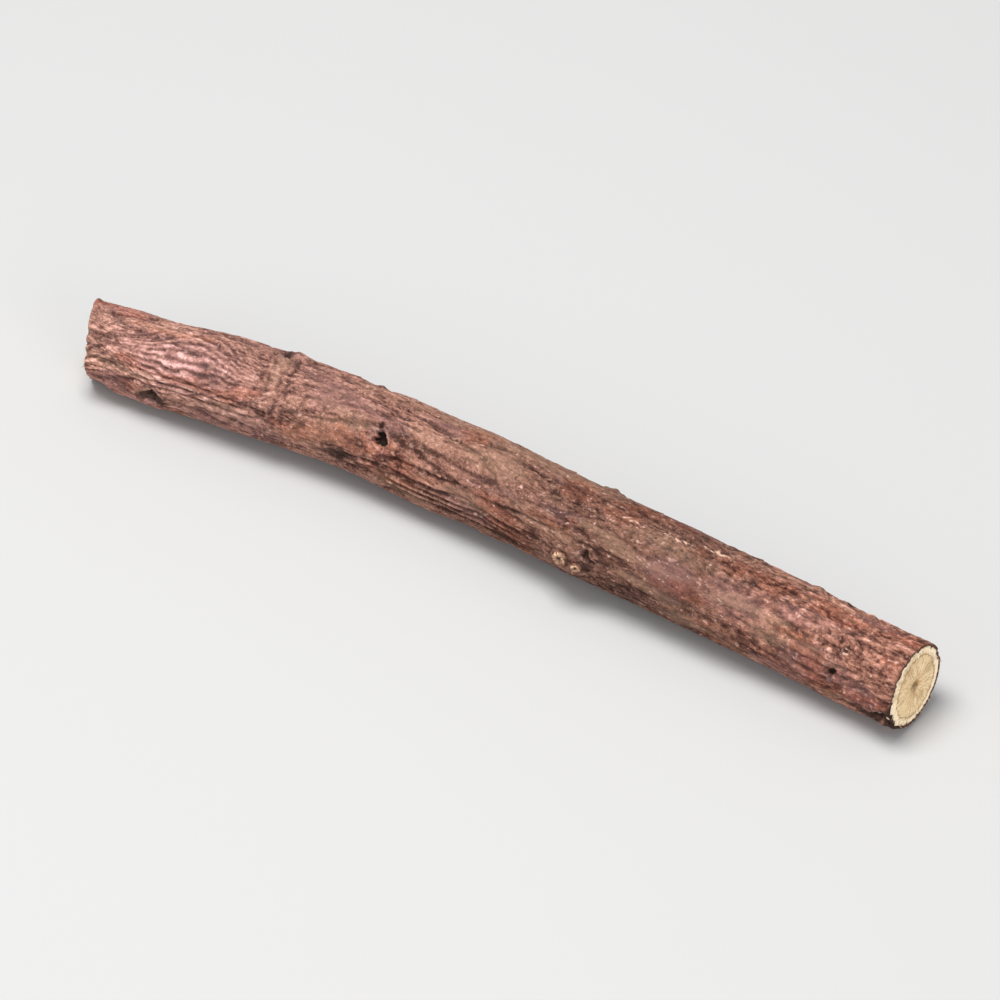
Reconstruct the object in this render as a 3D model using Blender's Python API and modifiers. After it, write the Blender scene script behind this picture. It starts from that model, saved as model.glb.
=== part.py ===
# One cut length of dried licorice root, lying on its side.
# Metres. +X runs along the root to its square-cut end and +Z is up.
# The origin is the centre of the underside of the root's box.
# Angles round the root are measured from its top, towards -Y.

import math
import random

import bmesh
import bpy
from mathutils import Vector, noise

MM = 0.001

# Overall size
ROOT_LENGTH = 86.8 * MM
THICKNESS = 8.0 * MM

# Thickness along the root, from the slanting cut to the square cut
THICKNESS_AT = (
    (0.0 * MM, 7.3 * MM),
    (6.0 * MM, 7.8 * MM),
    (14.0 * MM, 8.2 * MM),
    (25.0 * MM, 8.4 * MM),
    (37.0 * MM, 8.6 * MM),
    (57.0 * MM, 8.5 * MM),
    (73.0 * MM, 8.35 * MM),
    (86.8 * MM, 8.2 * MM),
)
OUT_OF_ROUND = 0.022
THREE_SIDED = 0.014
TWIST = math.radians(80.0)

# Sideways bow towards +Y, as half waves over the length
BOW = (2.02 * MM, 0.58 * MM, 0.05 * MM, -0.18 * MM)

# Slanting cut at the far end: how far it runs back across and down the side, against the radius
SIDE_MIDDLE = math.radians(45.0)
SLANT_ACROSS = 0.30
SLANT_DOWN = 0.30
SLANT_REACH = 12.0 * MM

# Cut faces: bark rim, groove at the edge of the wood, pith hollow; rings are parts of the radius
RIM_WIDTH = 0.3 * MM
FACE_RINGS = (0.93, 0.83, 0.74, 0.42, 0.14)
GROOVE_RING = 0.83
GROOVE_WIDTH = 0.05
GROOVE_DEPTH = 0.10 * MM
PITH_RING = 0.14
PITH_DEPTH = 0.16 * MM
FACE_CROWN = 0.10 * MM

# Lengthwise wrinkles of the dried bark, and slow swells under them
WRINKLES_AROUND = 3.3
WRINKLE_LENGTH = 8.0 * MM
WRINKLE_DEPTH = 0.30 * MM
WRINKLE_EDGE = 0.20
WRINKLE_DRIFT = 0.24
SWELLS_AROUND = 1.2
SWELL_LENGTH = 11.0 * MM
SWELL_HEIGHT = 0.16 * MM
SWELL_FIELD = 5.0

# Ring left by an old node: its place, how far round it goes, its width and height
NODE_RING_AT = 19.7 * MM
NODE_RING_MIDDLE = math.radians(40.0)
NODE_RING_REACH = math.radians(75.0)
NODE_RING_FADE = math.radians(30.0)
NODE_RING_WIDTH = 0.9 * MM
NODE_RING_HEIGHT = 0.20 * MM
NODE_RING_WAVER = 0.5 * MM

# Base of an old side root: folds run round it as round a lens
LENS_AT = 11.1 * MM
LENS_ANGLE = math.radians(45.0)
LENS_HALF_LENGTH = 5.2 * MM
LENS_HALF_WIDTH = math.radians(34.0)
LENS_HEIGHT = 0.22 * MM
LENS_CROWN = 0.8
LENS_PUSH = math.radians(9.0)
LENS_PUSH_SPREAD = 1.4

# Deep folds side by side: where they begin and end, their angles in degrees, width and depth
FOLDS_FROM = 30.8 * MM
FOLDS_TO = 48.8 * MM
FOLD_ANGLES = (78.0, 86.0, 94.0, 102.0)
FOLD_WIDTH = math.radians(3.2)
FOLD_DEPTH = 0.26 * MM
FOLD_FADE = 4.0 * MM
FOLD_LEAN = math.radians(6.0)

# Dents (+) and stubs (-): place along, angle in degrees, half width, depth
SCARS = (
    (1.7 * MM, 130.0, 1.50 * MM, 0.45 * MM),
    (4.0 * MM, 44.0, 0.55 * MM, 0.25 * MM),
    (8.2 * MM, 102.0, 0.90 * MM, 0.50 * MM),
    (19.1 * MM, -17.0, 0.70 * MM, 0.35 * MM),
    (31.2 * MM, 49.0, 0.80 * MM, 0.60 * MM),
    (30.6 * MM, 31.0, 0.50 * MM, 0.35 * MM),
    (52.0 * MM, 91.0, 0.85 * MM, -0.65 * MM),
    (53.7 * MM, 95.0, 0.70 * MM, -0.45 * MM),
    (54.0 * MM, 73.0, 0.70 * MM, 0.35 * MM),
    (80.1 * MM, 73.0, 0.65 * MM, 0.40 * MM),
    (81.5 * MM, 43.0, 0.60 * MM, -0.18 * MM),
    (85.9 * MM, 110.0, 0.80 * MM, 0.60 * MM),
)

# The low wall that stands round a dent or a stub, against its half width and depth
SCAR_WALL_AT = 1.7
SCAR_WALL_WIDTH = 0.5
SCAR_WALL_HEIGHT = 0.3
SCAR_REACH = 4.0

# Further scars of fine side roots, scattered over the sides away from the node ring
FAR_SCARS = 11
FAR_SCAR_SEED = 23
FAR_SCAR_SPACING = 5.5 * MM
FAR_SCAR_END_GAP = 5.0 * MM
FAR_SCAR_ANGLES = (140.0, 325.0)
FAR_SCAR_WIDTHS = (0.5 * MM, 0.9 * MM)
FAR_SCAR_DEPTHS = (0.45 * MM, 0.35 * MM, -0.40 * MM)

# Three low spots that the root lies on, along its length
REST_AT = (6.8 * MM, 35.4 * MM, 80.8 * MM)
REST_REACH = 4.6 * MM
REST_SINK = 0.17 * MM
REST_LIFT = 0.24 * MM
REST_SMOOTH_WIDTH = 2.2 * MM
REST_CLEAR_LENGTH = 7.0 * MM
REST_CLEAR_ANGLE = 30.0

# Mesh density
AROUND = 90
COARSE_STEP = 2.2 * MM
FINE_STEP = 0.85 * MM
FINE_REACH = 2.4 * MM
SAME_PLACE = 0.001 * MM


# Shape of the plain root

def ease(t):
    t = min(1.0, max(0.0, t))
    return t * t * (3.0 - 2.0 * t)


def bump(distance, half_width):
    return math.exp(-((distance / half_width) ** 2))


def angle_between(a, b):
    return (a - b + math.pi) % (2.0 * math.pi) - math.pi


def thickness(x):
    for (x0, d0), (x1, d1) in zip(THICKNESS_AT, THICKNESS_AT[1:]):
        if x <= x1:
            return d0 + (d1 - d0) * ease((x - x0) / (x1 - x0))
    return THICKNESS_AT[-1][1]


def plain_radius(x, angle):
    turn = TWIST * x / ROOT_LENGTH
    oval = OUT_OF_ROUND * math.cos(2.0 * (angle - turn))
    lobes = THREE_SIDED * math.cos(3.0 * (angle + turn))
    return 0.5 * thickness(x) * (1.0 + oval + lobes)


def bow(x):
    t = x / ROOT_LENGTH
    return sum(size * math.sin((i + 1) * math.pi * t) for i, size in enumerate(BOW))


def underside(x):
    sunk = sum(bump(x - place, REST_REACH) for place in REST_AT)
    return REST_LIFT - (REST_LIFT + REST_SINK) * sunk


def axis_height(x):
    return plain_radius(x, math.pi) + underside(x)


# Relief of the bark

def lens_distance(x, angle):
    along = (x - LENS_AT) / LENS_HALF_LENGTH
    across = angle_between(angle, LENS_ANGLE) / LENS_HALF_WIDTH
    return along, across


def lens_turn(x, angle):
    along, across = lens_distance(x, angle)
    return -LENS_PUSH * math.sin(math.pi * across) * bump(along, 1.0) * bump(across, LENS_PUSH_SPREAD)


def lens_swelling(x, angle):
    along, across = lens_distance(x, angle)
    return LENS_HEIGHT * bump(along, LENS_CROWN) * bump(across, LENS_CROWN)


def wrinkles(x, angle):
    wander = noise.noise(Vector((x / (2.0 * WRINKLE_LENGTH), math.cos(angle), math.sin(angle))))
    turned = angle + WRINKLE_DRIFT * wander + lens_turn(x, angle)
    place = Vector((
        x / WRINKLE_LENGTH,
        WRINKLES_AROUND * math.cos(turned),
        WRINKLES_AROUND * math.sin(turned),
    ))
    crease = 1.0 - ease(abs(noise.noise(place)) / WRINKLE_EDGE)
    return -WRINKLE_DEPTH * crease


def swells(x, angle):
    place = Vector((
        x / SWELL_LENGTH,
        SWELLS_AROUND * math.cos(angle) + SWELL_FIELD,
        SWELLS_AROUND * math.sin(angle),
    ))
    return SWELL_HEIGHT * noise.noise(place)


def node_ring(x, angle):
    round_it = angle_between(angle, NODE_RING_MIDDLE)
    strength = 1.0 - ease((abs(round_it) - NODE_RING_REACH) / NODE_RING_FADE)
    middle = NODE_RING_AT + NODE_RING_WAVER * math.sin(2.0 * round_it)
    return NODE_RING_HEIGHT * strength * bump(x - middle, NODE_RING_WIDTH)


def folds(x, angle):
    run = ease((x - FOLDS_FROM) / FOLD_FADE) * ease((FOLDS_TO - x) / FOLD_FADE)
    turned = angle - FOLD_LEAN * (x - FOLDS_FROM) / (FOLDS_TO - FOLDS_FROM)
    cut = max(bump(angle_between(turned, math.radians(a)), FOLD_WIDTH) for a in FOLD_ANGLES)
    return -FOLD_DEPTH * run * cut


def on_rest_spot(place, degrees):
    below = abs(degrees - 180.0) < REST_CLEAR_ANGLE
    return below and min(abs(place - rest) for rest in REST_AT) < REST_CLEAR_LENGTH


def far_scars():
    rng = random.Random(FAR_SCAR_SEED)
    found = []
    while len(found) < FAR_SCARS:
        place = rng.uniform(FAR_SCAR_END_GAP, ROOT_LENGTH - FAR_SCAR_END_GAP)
        degrees = rng.uniform(*FAR_SCAR_ANGLES)
        half_width = rng.uniform(*FAR_SCAR_WIDTHS)
        depth = rng.choice(FAR_SCAR_DEPTHS)
        apart = all(abs(place - other[0]) > FAR_SCAR_SPACING for other in found)
        if apart and not on_rest_spot(place, degrees):
            found.append((place, degrees, half_width, depth))
    return tuple(found)


ALL_SCARS = SCARS + far_scars()


def scars(x, angle):
    height = 0.0
    for place, degrees, half_width, depth in ALL_SCARS:
        across = angle_between(angle, math.radians(degrees)) * 0.5 * THICKNESS
        distance = math.hypot(x - place, across)
        if distance < SCAR_REACH * half_width:
            height -= depth * bump(distance, half_width)
            from_wall = distance - SCAR_WALL_AT * half_width
            height += SCAR_WALL_HEIGHT * abs(depth) * bump(from_wall, SCAR_WALL_WIDTH * half_width)
    return height


def rest_softening(x, angle):
    across = angle_between(angle, math.pi) * 0.5 * THICKNESS
    near = max(bump(x - place, REST_REACH) for place in REST_AT)
    return 1.0 - near * bump(across, REST_SMOOTH_WIDTH)


def relief(x, angle):
    height = wrinkles(x, angle) + swells(x, angle) + lens_swelling(x, angle)
    height += node_ring(x, angle) + folds(x, angle) + scars(x, angle)
    return height * rest_softening(x, angle)


# From the turned blank to the root

def slant(x, radius, angle):
    turned = angle - SIDE_MIDDLE
    reach = max(0.0, 1.0 - x / SLANT_REACH) ** 2
    lean = SLANT_ACROSS * math.cos(turned) + SLANT_DOWN * math.sin(turned)
    return reach * radius * lean


def face_sink(ring):
    groove = GROOVE_DEPTH * bump(ring - GROOVE_RING, GROOVE_WIDTH)
    pith = PITH_DEPTH * ease((2.0 * PITH_RING - ring) / PITH_RING)
    return groove + pith - FACE_CROWN * (1.0 - ring * ring)


def root_point(x, angle, ring):
    radius = plain_radius(x, angle)
    along = x + slant(x, radius * ring, angle)
    outer = radius + relief(along, angle) * ring
    if x == 0.0:
        along += face_sink(ring)
    if x == ROOT_LENGTH:
        along -= face_sink(ring)
    across = bow(x) - ring * outer * math.sin(angle)
    height = axis_height(x) + ring * outer * math.cos(angle)
    return Vector((along, across, max(height, 0.0)))


def stations():
    marks = [NODE_RING_AT] + [scar[0] for scar in SCARS]
    places = [RIM_WIDTH]
    while places[-1] < ROOT_LENGTH - RIM_WIDTH:
        nearest = min(abs(places[-1] - mark) for mark in marks)
        places.append(places[-1] + FINE_STEP + (COARSE_STEP - FINE_STEP) * ease(nearest / FINE_REACH))
    stretch = (ROOT_LENGTH - 2.0 * RIM_WIDTH) / (places[-1] - RIM_WIDTH)
    return [RIM_WIDTH + (place - RIM_WIDTH) * stretch for place in places]


def blank_outline():
    radius = 0.5 * THICKNESS
    far_face = [(0.0, ring * radius) for ring in (0.0,) + tuple(reversed(FACE_RINGS))]
    side = [(place, radius) for place in stations()]
    near_face = [(ROOT_LENGTH, ring * radius) for ring in FACE_RINGS + (0.0,)]
    return far_face + side + near_face


def turned_blank(collection):
    points = [(x, 0.0, radius) for x, radius in blank_outline()]
    edges = [(i, i + 1) for i in range(len(points) - 1)]
    mesh = bpy.data.meshes.new("root_blank")
    mesh.from_pydata(points, edges, [])
    blank = bpy.data.objects.new("root_blank", mesh)
    collection.objects.link(blank)
    turn = blank.modifiers.new("turn", "SCREW")
    turn.axis = "X"
    turn.angle = 2.0 * math.pi
    turn.steps = AROUND
    turn.render_steps = AROUND
    turn.use_merge_vertices = True
    turn.merge_threshold = 0.01 * MM
    return blank


def shape_root(mesh):
    shaped = bmesh.new()
    shaped.from_mesh(mesh)
    for vertex in shaped.verts:
        radius = math.hypot(vertex.co.y, vertex.co.z)
        angle = math.atan2(-vertex.co.y, vertex.co.z)
        x = vertex.co.x
        if abs(x) < SAME_PLACE:
            x = 0.0
        if abs(x - ROOT_LENGTH) < SAME_PLACE:
            x = ROOT_LENGTH
        vertex.co = root_point(x, angle, radius / (0.5 * THICKNESS))
    bmesh.ops.recalc_face_normals(shaped, faces=shaped.faces)
    shaped.to_mesh(mesh)
    shaped.free()


def centre_on_origin(mesh):
    low = [min(v.co[axis] for v in mesh.vertices) for axis in range(3)]
    high = [max(v.co[axis] for v in mesh.vertices) for axis in range(3)]
    shift = Vector((-0.5 * (low[0] + high[0]), -0.5 * (low[1] + high[1]), -low[2]))
    for vertex in mesh.vertices:
        vertex.co += shift


def add_material(mesh, name, colour, roughness):
    material = bpy.data.materials.new(name)
    material.use_nodes = True
    shader = material.node_tree.nodes["Principled BSDF"]
    shader.inputs["Base Color"].default_value = colour
    shader.inputs["Roughness"].default_value = roughness
    shader.inputs["Metallic"].default_value = 0.0
    mesh.materials.append(material)


def build_root():
    collection = bpy.data.collections.new("licorice root")
    bpy.context.scene.collection.children.link(collection)
    blank = turned_blank(collection)
    evaluated = blank.evaluated_get(bpy.context.evaluated_depsgraph_get())
    mesh = bpy.data.meshes.new_from_object(evaluated)
    bpy.data.objects.remove(blank)
    shape_root(mesh)
    centre_on_origin(mesh)
    add_material(mesh, "dried root bark", (0.19, 0.085, 0.068, 1.0), 0.85)
    mesh.shade_smooth()
    mesh.set_sharp_from_angle(angle=math.radians(50.0))
    mesh.name = "licorice_root"
    root = bpy.data.objects.new("licorice_root", mesh)
    collection.objects.link(root)


def main():
    for leftover in list(bpy.data.objects):
        bpy.data.objects.remove(leftover)
    build_root()


main()
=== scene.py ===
import math
import random

import bpy
import numpy as np
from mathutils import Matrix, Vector, noise


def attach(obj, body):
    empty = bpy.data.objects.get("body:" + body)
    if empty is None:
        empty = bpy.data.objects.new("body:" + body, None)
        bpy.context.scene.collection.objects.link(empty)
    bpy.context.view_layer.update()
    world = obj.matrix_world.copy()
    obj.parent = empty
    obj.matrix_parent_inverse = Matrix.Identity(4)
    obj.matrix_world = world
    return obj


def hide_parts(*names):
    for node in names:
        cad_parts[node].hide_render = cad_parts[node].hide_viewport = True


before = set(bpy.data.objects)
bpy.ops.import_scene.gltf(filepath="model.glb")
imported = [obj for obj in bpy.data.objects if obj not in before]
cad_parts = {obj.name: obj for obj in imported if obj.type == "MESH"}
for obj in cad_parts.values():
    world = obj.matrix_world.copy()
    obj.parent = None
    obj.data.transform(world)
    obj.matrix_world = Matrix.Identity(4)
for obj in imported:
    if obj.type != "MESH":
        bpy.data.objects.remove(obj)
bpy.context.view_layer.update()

# One cut length of dried licorice root: bark, cut wood at both ends, broken rootlets, loose scales
# and torn fibres. Lengths in the dictionaries are millimetres, unless a note says otherwise.
# Angles round the root run from its top towards -Y, in degrees there and in radians in the functions.

mm = 0.001


# The root's form, by the same rules as the solid's

rootForm = {
    "length": 86.8,
    "radius": 4.0,
    "thicknessAt": [(0.0, 7.3), (6.0, 7.8), (14.0, 8.2), (25.0, 8.4),
                    (37.0, 8.6), (57.0, 8.5), (73.0, 8.35), (86.8, 8.2)],
    "oval": 0.022,  # shares of the radius
    "lobes": 0.014,
    "twist": 80.0,
    "bow": [2.02, 0.58, 0.05, -0.18],  # half waves over the length, one to four of them
    "slantMiddle": 45.0,
    "slantAcross": 0.30,
    "slantDown": 0.30,
    "slantReach": 12.0,
    "restAt": [6.8, 35.4, 80.8],
    "restReach": 4.6,
    "restSink": 0.17,
    "restLift": 0.24,
    "restSmoothWidth": 2.2,
}

wrinkleForm = {
    "around": 3.3,
    "length": 8.0,
    "depth": 0.30,
    "edge": 0.20,
    "drift": 0.24,
    "swellsAround": 1.2,
    "swellLength": 11.0,
    "swellHeight": 0.16,
    "swellField": 5.0,
}

nodeRing = {"at": 19.7, "middle": 40.0, "reach": 75.0, "fade": 30.0, "width": 0.9, "height": 0.20,
            "waver": 0.5}

lensFold = {"at": 11.1, "angle": 45.0, "halfLength": 5.2, "halfWidth": 34.0, "height": 0.22,
            "crown": 0.8, "push": 9.0, "pushSpread": 1.4}

deepFolds = {"start": 30.8, "end": 48.8, "angles": [78.0, 86.0, 94.0, 102.0], "width": 3.2, "depth": 0.26,
             "fade": 4.0, "lean": 6.0}

# place along, angle, half width, depth (a stub has a minus)
scarList = [
    (1.7, 130.0, 1.50, 0.45),
    (4.0, 44.0, 0.55, 0.25),
    (8.2, 102.0, 0.90, 0.50),
    (19.1, -17.0, 0.70, 0.35),
    (31.2, 49.0, 0.80, 0.60),
    (30.6, 31.0, 0.50, 0.35),
    (52.0, 91.0, 0.85, -0.65),
    (53.7, 95.0, 0.70, -0.45),
    (54.0, 73.0, 0.70, 0.35),
    (80.1, 73.0, 0.65, 0.40),
    (81.5, 43.0, 0.60, -0.18),
    (85.9, 110.0, 0.80, 0.60),
]

farScars = {
    "count": 11,
    "seed": 23,
    "spacing": 5.5,
    "endGap": 5.0,
    "angles": (140.0, 325.0),
    "halfWidths": (0.5, 0.9),
    "depths": (0.45, 0.35, -0.40),
    "restLength": 7.0,
    "restAngle": 30.0,
}

scarForm = {"wallAt": 1.7, "wallWidth": 0.5, "wallHeight": 0.3}


def ease(t):
    t = np.clip(t, 0.0, 1.0)
    return t * t * (3.0 - 2.0 * t)


def bump(distance, halfWidth):
    return np.exp(-((distance / halfWidth) ** 2))


def angleBetween(a, b):
    return (a - b + np.pi) % (2.0 * np.pi) - np.pi


def acrossFrom(angle, degrees):
    # The distance round the root from an angle that is given in degrees.
    return angleBetween(angle, math.radians(degrees)) * rootForm["radius"]


def noiseAt(x, y, z):
    return np.array([noise.noise(place) for place in zip(x.tolist(), y.tolist(), z.tolist())])


def noiseRound(x, angle, along, around, shift=0.0):
    # Smooth noise over the bark: along is cells to a millimetre, around is its fineness round the root.
    return noiseAt(x * along, around * np.cos(angle), around * np.sin(angle) + shift)


def drawFarScars():
    rng = random.Random(farScars["seed"])
    found = []
    while len(found) < farScars["count"]:
        place = rng.uniform(farScars["endGap"], rootForm["length"] - farScars["endGap"])
        degrees = rng.uniform(*farScars["angles"])
        halfWidth = rng.uniform(*farScars["halfWidths"])
        depth = rng.choice(farScars["depths"])
        apart = all(abs(place - other[0]) > farScars["spacing"] for other in found)
        below = abs(degrees - 180.0) < farScars["restAngle"]
        onRest = below and min(abs(place - rest) for rest in rootForm["restAt"]) < farScars["restLength"]
        if apart and not onRest:
            found.append((place, degrees, halfWidth, depth))
    return found


allScars = scarList + drawFarScars()


def thickness(x):
    table = rootForm["thicknessAt"]
    size = np.full_like(x, table[-1][1])
    for (x0, d0), (x1, d1) in reversed(list(zip(table, table[1:]))):
        size = np.where(x <= x1, d0 + (d1 - d0) * ease((x - x0) / (x1 - x0)), size)
    return size


def plainRadius(x, angle):
    turn = math.radians(rootForm["twist"]) * x / rootForm["length"]
    oval = rootForm["oval"] * np.cos(2.0 * (angle - turn))
    lobes = rootForm["lobes"] * np.cos(3.0 * (angle + turn))
    return 0.5 * thickness(x) * (1.0 + oval + lobes)


def bow(x):
    t = x / rootForm["length"]
    return sum(size * np.sin((i + 1) * np.pi * t) for i, size in enumerate(rootForm["bow"]))


def axisHeight(x):
    sunk = sum(bump(x - place, rootForm["restReach"]) for place in rootForm["restAt"])
    lift = rootForm["restLift"] - (rootForm["restLift"] + rootForm["restSink"]) * sunk
    return plainRadius(x, np.full_like(x, np.pi)) + lift


def lensPlace(x, angle):
    along = (x - lensFold["at"]) / lensFold["halfLength"]
    across = angleBetween(angle, math.radians(lensFold["angle"])) / math.radians(lensFold["halfWidth"])
    return along, across


def grainAngle(x, angle, share=1.0):
    # The angle that the bark's grain follows: it wanders, and parts round the lens-shaped scar.
    wander = noiseRound(x, angle, 0.5 / wrinkleForm["length"], 1.0)
    along, across = lensPlace(x, angle)
    push = math.radians(lensFold["push"]) * np.sin(np.pi * across)
    push = push * bump(along, 1.0) * bump(across, lensFold["pushSpread"])
    return angle + wrinkleForm["drift"] * wander - share * push


def wrinkles(x, grain):
    crease = noiseRound(x, grain, 1.0 / wrinkleForm["length"], wrinkleForm["around"])
    return -wrinkleForm["depth"] * (1.0 - ease(np.abs(crease) / wrinkleForm["edge"]))


def swells(x, angle):
    around = wrinkleForm["swellsAround"]
    slow = noiseAt(x / wrinkleForm["swellLength"], around * np.cos(angle) + wrinkleForm["swellField"],
                   around * np.sin(angle))
    return wrinkleForm["swellHeight"] * slow


def lensSwelling(x, angle):
    along, across = lensPlace(x, angle)
    return lensFold["height"] * bump(along, lensFold["crown"]) * bump(across, lensFold["crown"])


def ringCourse(angle):
    # How strong the node ring is round the root, and where along the root it runs.
    roundIt = angleBetween(angle, math.radians(nodeRing["middle"]))
    past = np.abs(roundIt) - math.radians(nodeRing["reach"])
    strength = 1.0 - ease(past / math.radians(nodeRing["fade"]))
    return strength, nodeRing["at"] + nodeRing["waver"] * np.sin(2.0 * roundIt)


def ringRelief(x, angle):
    strength, middle = ringCourse(angle)
    return nodeRing["height"] * strength * bump(x - middle, nodeRing["width"])


def foldLines(x, angle, beside=0.0):
    # How much of a deep fold a point is, or of a line that lies some degrees beside the fold.
    start, end = deepFolds["start"], deepFolds["end"]
    run = ease((x - start) / deepFolds["fade"]) * ease((end - x) / deepFolds["fade"])
    turned = angle - math.radians(deepFolds["lean"]) * (x - start) / (end - start) - math.radians(beside)
    width = math.radians(deepFolds["width"])
    lines = [bump(angleBetween(turned, math.radians(degrees)), width) for degrees in deepFolds["angles"]]
    return run * np.max(lines, axis=0)


def foldRelief(x, angle):
    return -deepFolds["depth"] * foldLines(x, angle)


def scarRelief(x, angle):
    height = np.zeros_like(x)
    for place, degrees, halfWidth, depth in allScars:
        distance = np.hypot(x - place, acrossFrom(angle, degrees))
        wall = bump(distance - scarForm["wallAt"] * halfWidth, scarForm["wallWidth"] * halfWidth)
        height += scarForm["wallHeight"] * abs(depth) * wall - depth * bump(distance, halfWidth)
    return height


def restSoftening(x, angle):
    # The relief dies out at the low spots that the root rests on.
    near = np.max([bump(x - place, rootForm["restReach"]) for place in rootForm["restAt"]], axis=0)
    return 1.0 - near * bump(acrossFrom(angle, 180.0), rootForm["restSmoothWidth"])


def slant(x, radius, angle):
    turned = angle - math.radians(rootForm["slantMiddle"])
    reach = np.maximum(0.0, 1.0 - x / rootForm["slantReach"]) ** 2
    lean = rootForm["slantAcross"] * np.cos(turned) + rootForm["slantDown"] * np.sin(turned)
    return reach * radius * lean


def rootPoints(x, angle, ring, inset):
    # ring is a part of the radius, inset goes along the root; also gives the grain's angle and the softening
    radius = plainRadius(x, angle)
    along = x + slant(x, radius * ring, angle)
    grain = grainAngle(along, angle)
    relief = wrinkles(along, grain) + swells(along, angle) + lensSwelling(along, angle)
    relief = relief + ringRelief(along, angle) + foldRelief(along, angle) + scarRelief(along, angle)
    soft = restSoftening(along, angle)
    outer = radius + relief * soft * ring
    across = bow(x) - ring * outer * np.sin(angle)
    height = axisHeight(x) + ring * outer * np.cos(angle)
    return np.stack([along + inset, across, np.maximum(height, 0.0)], axis=1), grain, soft


# Meshes, nodes and materials

# Settings that many nodes share
add, subtract, multiply, divide = ({"operation": name} for name in ("ADD", "SUBTRACT", "MULTIPLY", "DIVIDE"))
multiplyAdd = {"operation": "MULTIPLY_ADD"}
maximum = {"operation": "MAXIMUM"}
scale = {"operation": "SCALE"}
storedNumber = {"data_type": "FLOAT"}
storedVector = {"data_type": "FLOAT_VECTOR"}
keptNumber = {"data_type": "FLOAT", "domain": "POINT"}
plainFade = {"interpolation_type": "LINEAR"}
smoothFade = {"interpolation_type": "SMOOTHSTEP"}
colourMix = {"data_type": "RGBA", "blend_type": "MIX"}
colourTint = {"data_type": "RGBA", "blend_type": "MULTIPLY"}


def linearColour(hexCode):
    channels = [int(hexCode[i:i + 2], 16) / 255.0 for i in (1, 3, 5)]
    return [c / 12.92 if c <= 0.04045 else ((c + 0.055) / 1.055) ** 2.4 for c in channels] + [1.0]


def addNode(tree, kind, settings=None, sockets=()):
    # sockets holds values by name or number, or in order; a node there stands for its first output
    node = tree.nodes.new(kind)
    for name, value in (settings or {}).items():
        setattr(node, name, value)
    for name, value in (sockets.items() if isinstance(sockets, dict) else enumerate(sockets)):
        if isinstance(value, bpy.types.Node):
            value = value.outputs[0]
        if isinstance(value, bpy.types.NodeSocket):
            tree.links.new(value, node.inputs[name])
        else:
            node.inputs[name].default_value = value
    return node


def fillRamp(ramp, stops):
    # stops holds (position, colour as a hex code or as a list), from 0.0 on
    elements = ramp.color_ramp.elements
    elements.remove(elements[1])
    for position, colour in stops:
        stop = elements.new(position) if position > 0.0 else elements[0]
        stop.color = linearColour(colour) if isinstance(colour, str) else colour


def newMaterial(name, finish):
    # finish holds the shader's plain values by socket
    material = bpy.data.materials.new(name)
    material.use_nodes = True
    shader = material.node_tree.nodes["Principled BSDF"]
    for socket, value in finish.items():
        shader.inputs[socket].default_value = value
    return material, material.node_tree, shader


def facesBetween(first, rings, around):
    # The faces between rings of points that follow one another, from the point numbered first on.
    faces = []
    for a in range(first, first + (rings - 1) * around, around):
        b = a + around
        faces += [(a + i, a + (i + 1) % around, b + (i + 1) % around, b + i) for i in range(around)]
    return faces


def loftedMesh(name, rows, around, points):
    # rows of points round the root, the first and last closed by a single point
    faces = facesBetween(1, rows, around)
    last = rows * around + 1
    faces += [(0, 1 + (i + 1) % around, 1 + i) for i in range(around)]
    end = 1 + (rows - 1) * around
    faces += [(last, end + i, end + (i + 1) % around) for i in range(around)]
    mesh = bpy.data.meshes.new(name)
    mesh.from_pydata(points.tolist(), [], faces)
    mesh.shade_smooth()
    return mesh


def loftRows(rowList, around):
    # rowList holds (x, ring, inset) for each row; the first and last rows are single points on the axis
    turn = np.linspace(0.0, 2.0 * np.pi, around, endpoint=False)
    single = np.zeros(1)
    x = [np.full(1 if i in (0, len(rowList) - 1) else around, row[0]) for i, row in enumerate(rowList)]
    ring = [np.full(len(xs), row[1]) for xs, row in zip(x, rowList)]
    inset = [np.full(len(xs), row[2]) for xs, row in zip(x, rowList)]
    angle = [single if len(xs) == 1 else turn for xs in x]
    return [np.concatenate(part) for part in (x, angle, ring, inset)]


def addAttribute(mesh, name, values):
    kind = "FLOAT_VECTOR" if values.ndim == 2 else "FLOAT"
    layer = mesh.attributes.new(name, kind, "POINT")
    layer.data.foreach_set("vector" if values.ndim == 2 else "value", values.astype(np.float32).ravel())


def addPiece(name, mesh):
    piece = bpy.data.objects.new(name, mesh)
    bpy.context.scene.collection.objects.link(piece)
    return piece


def newGeometryTree(name, numbers, objects=()):
    # numbers holds the plain inputs' defaults, objects names the inputs that are objects;
    # returns the tree, its input sockets and its output node
    tree = bpy.data.node_groups.new(name, "GeometryNodeTree")
    tree.interface.new_socket("Geometry", in_out="OUTPUT", socket_type="NodeSocketGeometry")
    kinds = {"Geometry": "Geometry", **dict.fromkeys(objects, "Object"), "Material": "Material"}
    kinds.update((label, "Int" if isinstance(value, int) else "Float") for label, value in numbers.items())
    for label, kind in kinds.items():
        socket = tree.interface.new_socket(label, in_out="INPUT", socket_type="NodeSocket" + kind)
        if label in numbers:
            socket.default_value = numbers[label]
    return tree, addNode(tree, "NodeGroupInput").outputs, addNode(tree, "NodeGroupOutput")


def endTree(tree, geometry, material, result):
    # Every tree ends in real geometry with its material.
    real = addNode(tree, "GeometryNodeRealizeInstances", None, {"Geometry": geometry})
    dressed = addNode(tree, "GeometryNodeSetMaterial", None, {"Geometry": real, "Material": material})
    tree.links.new(dressed.outputs[0], result.inputs[0])


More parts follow.
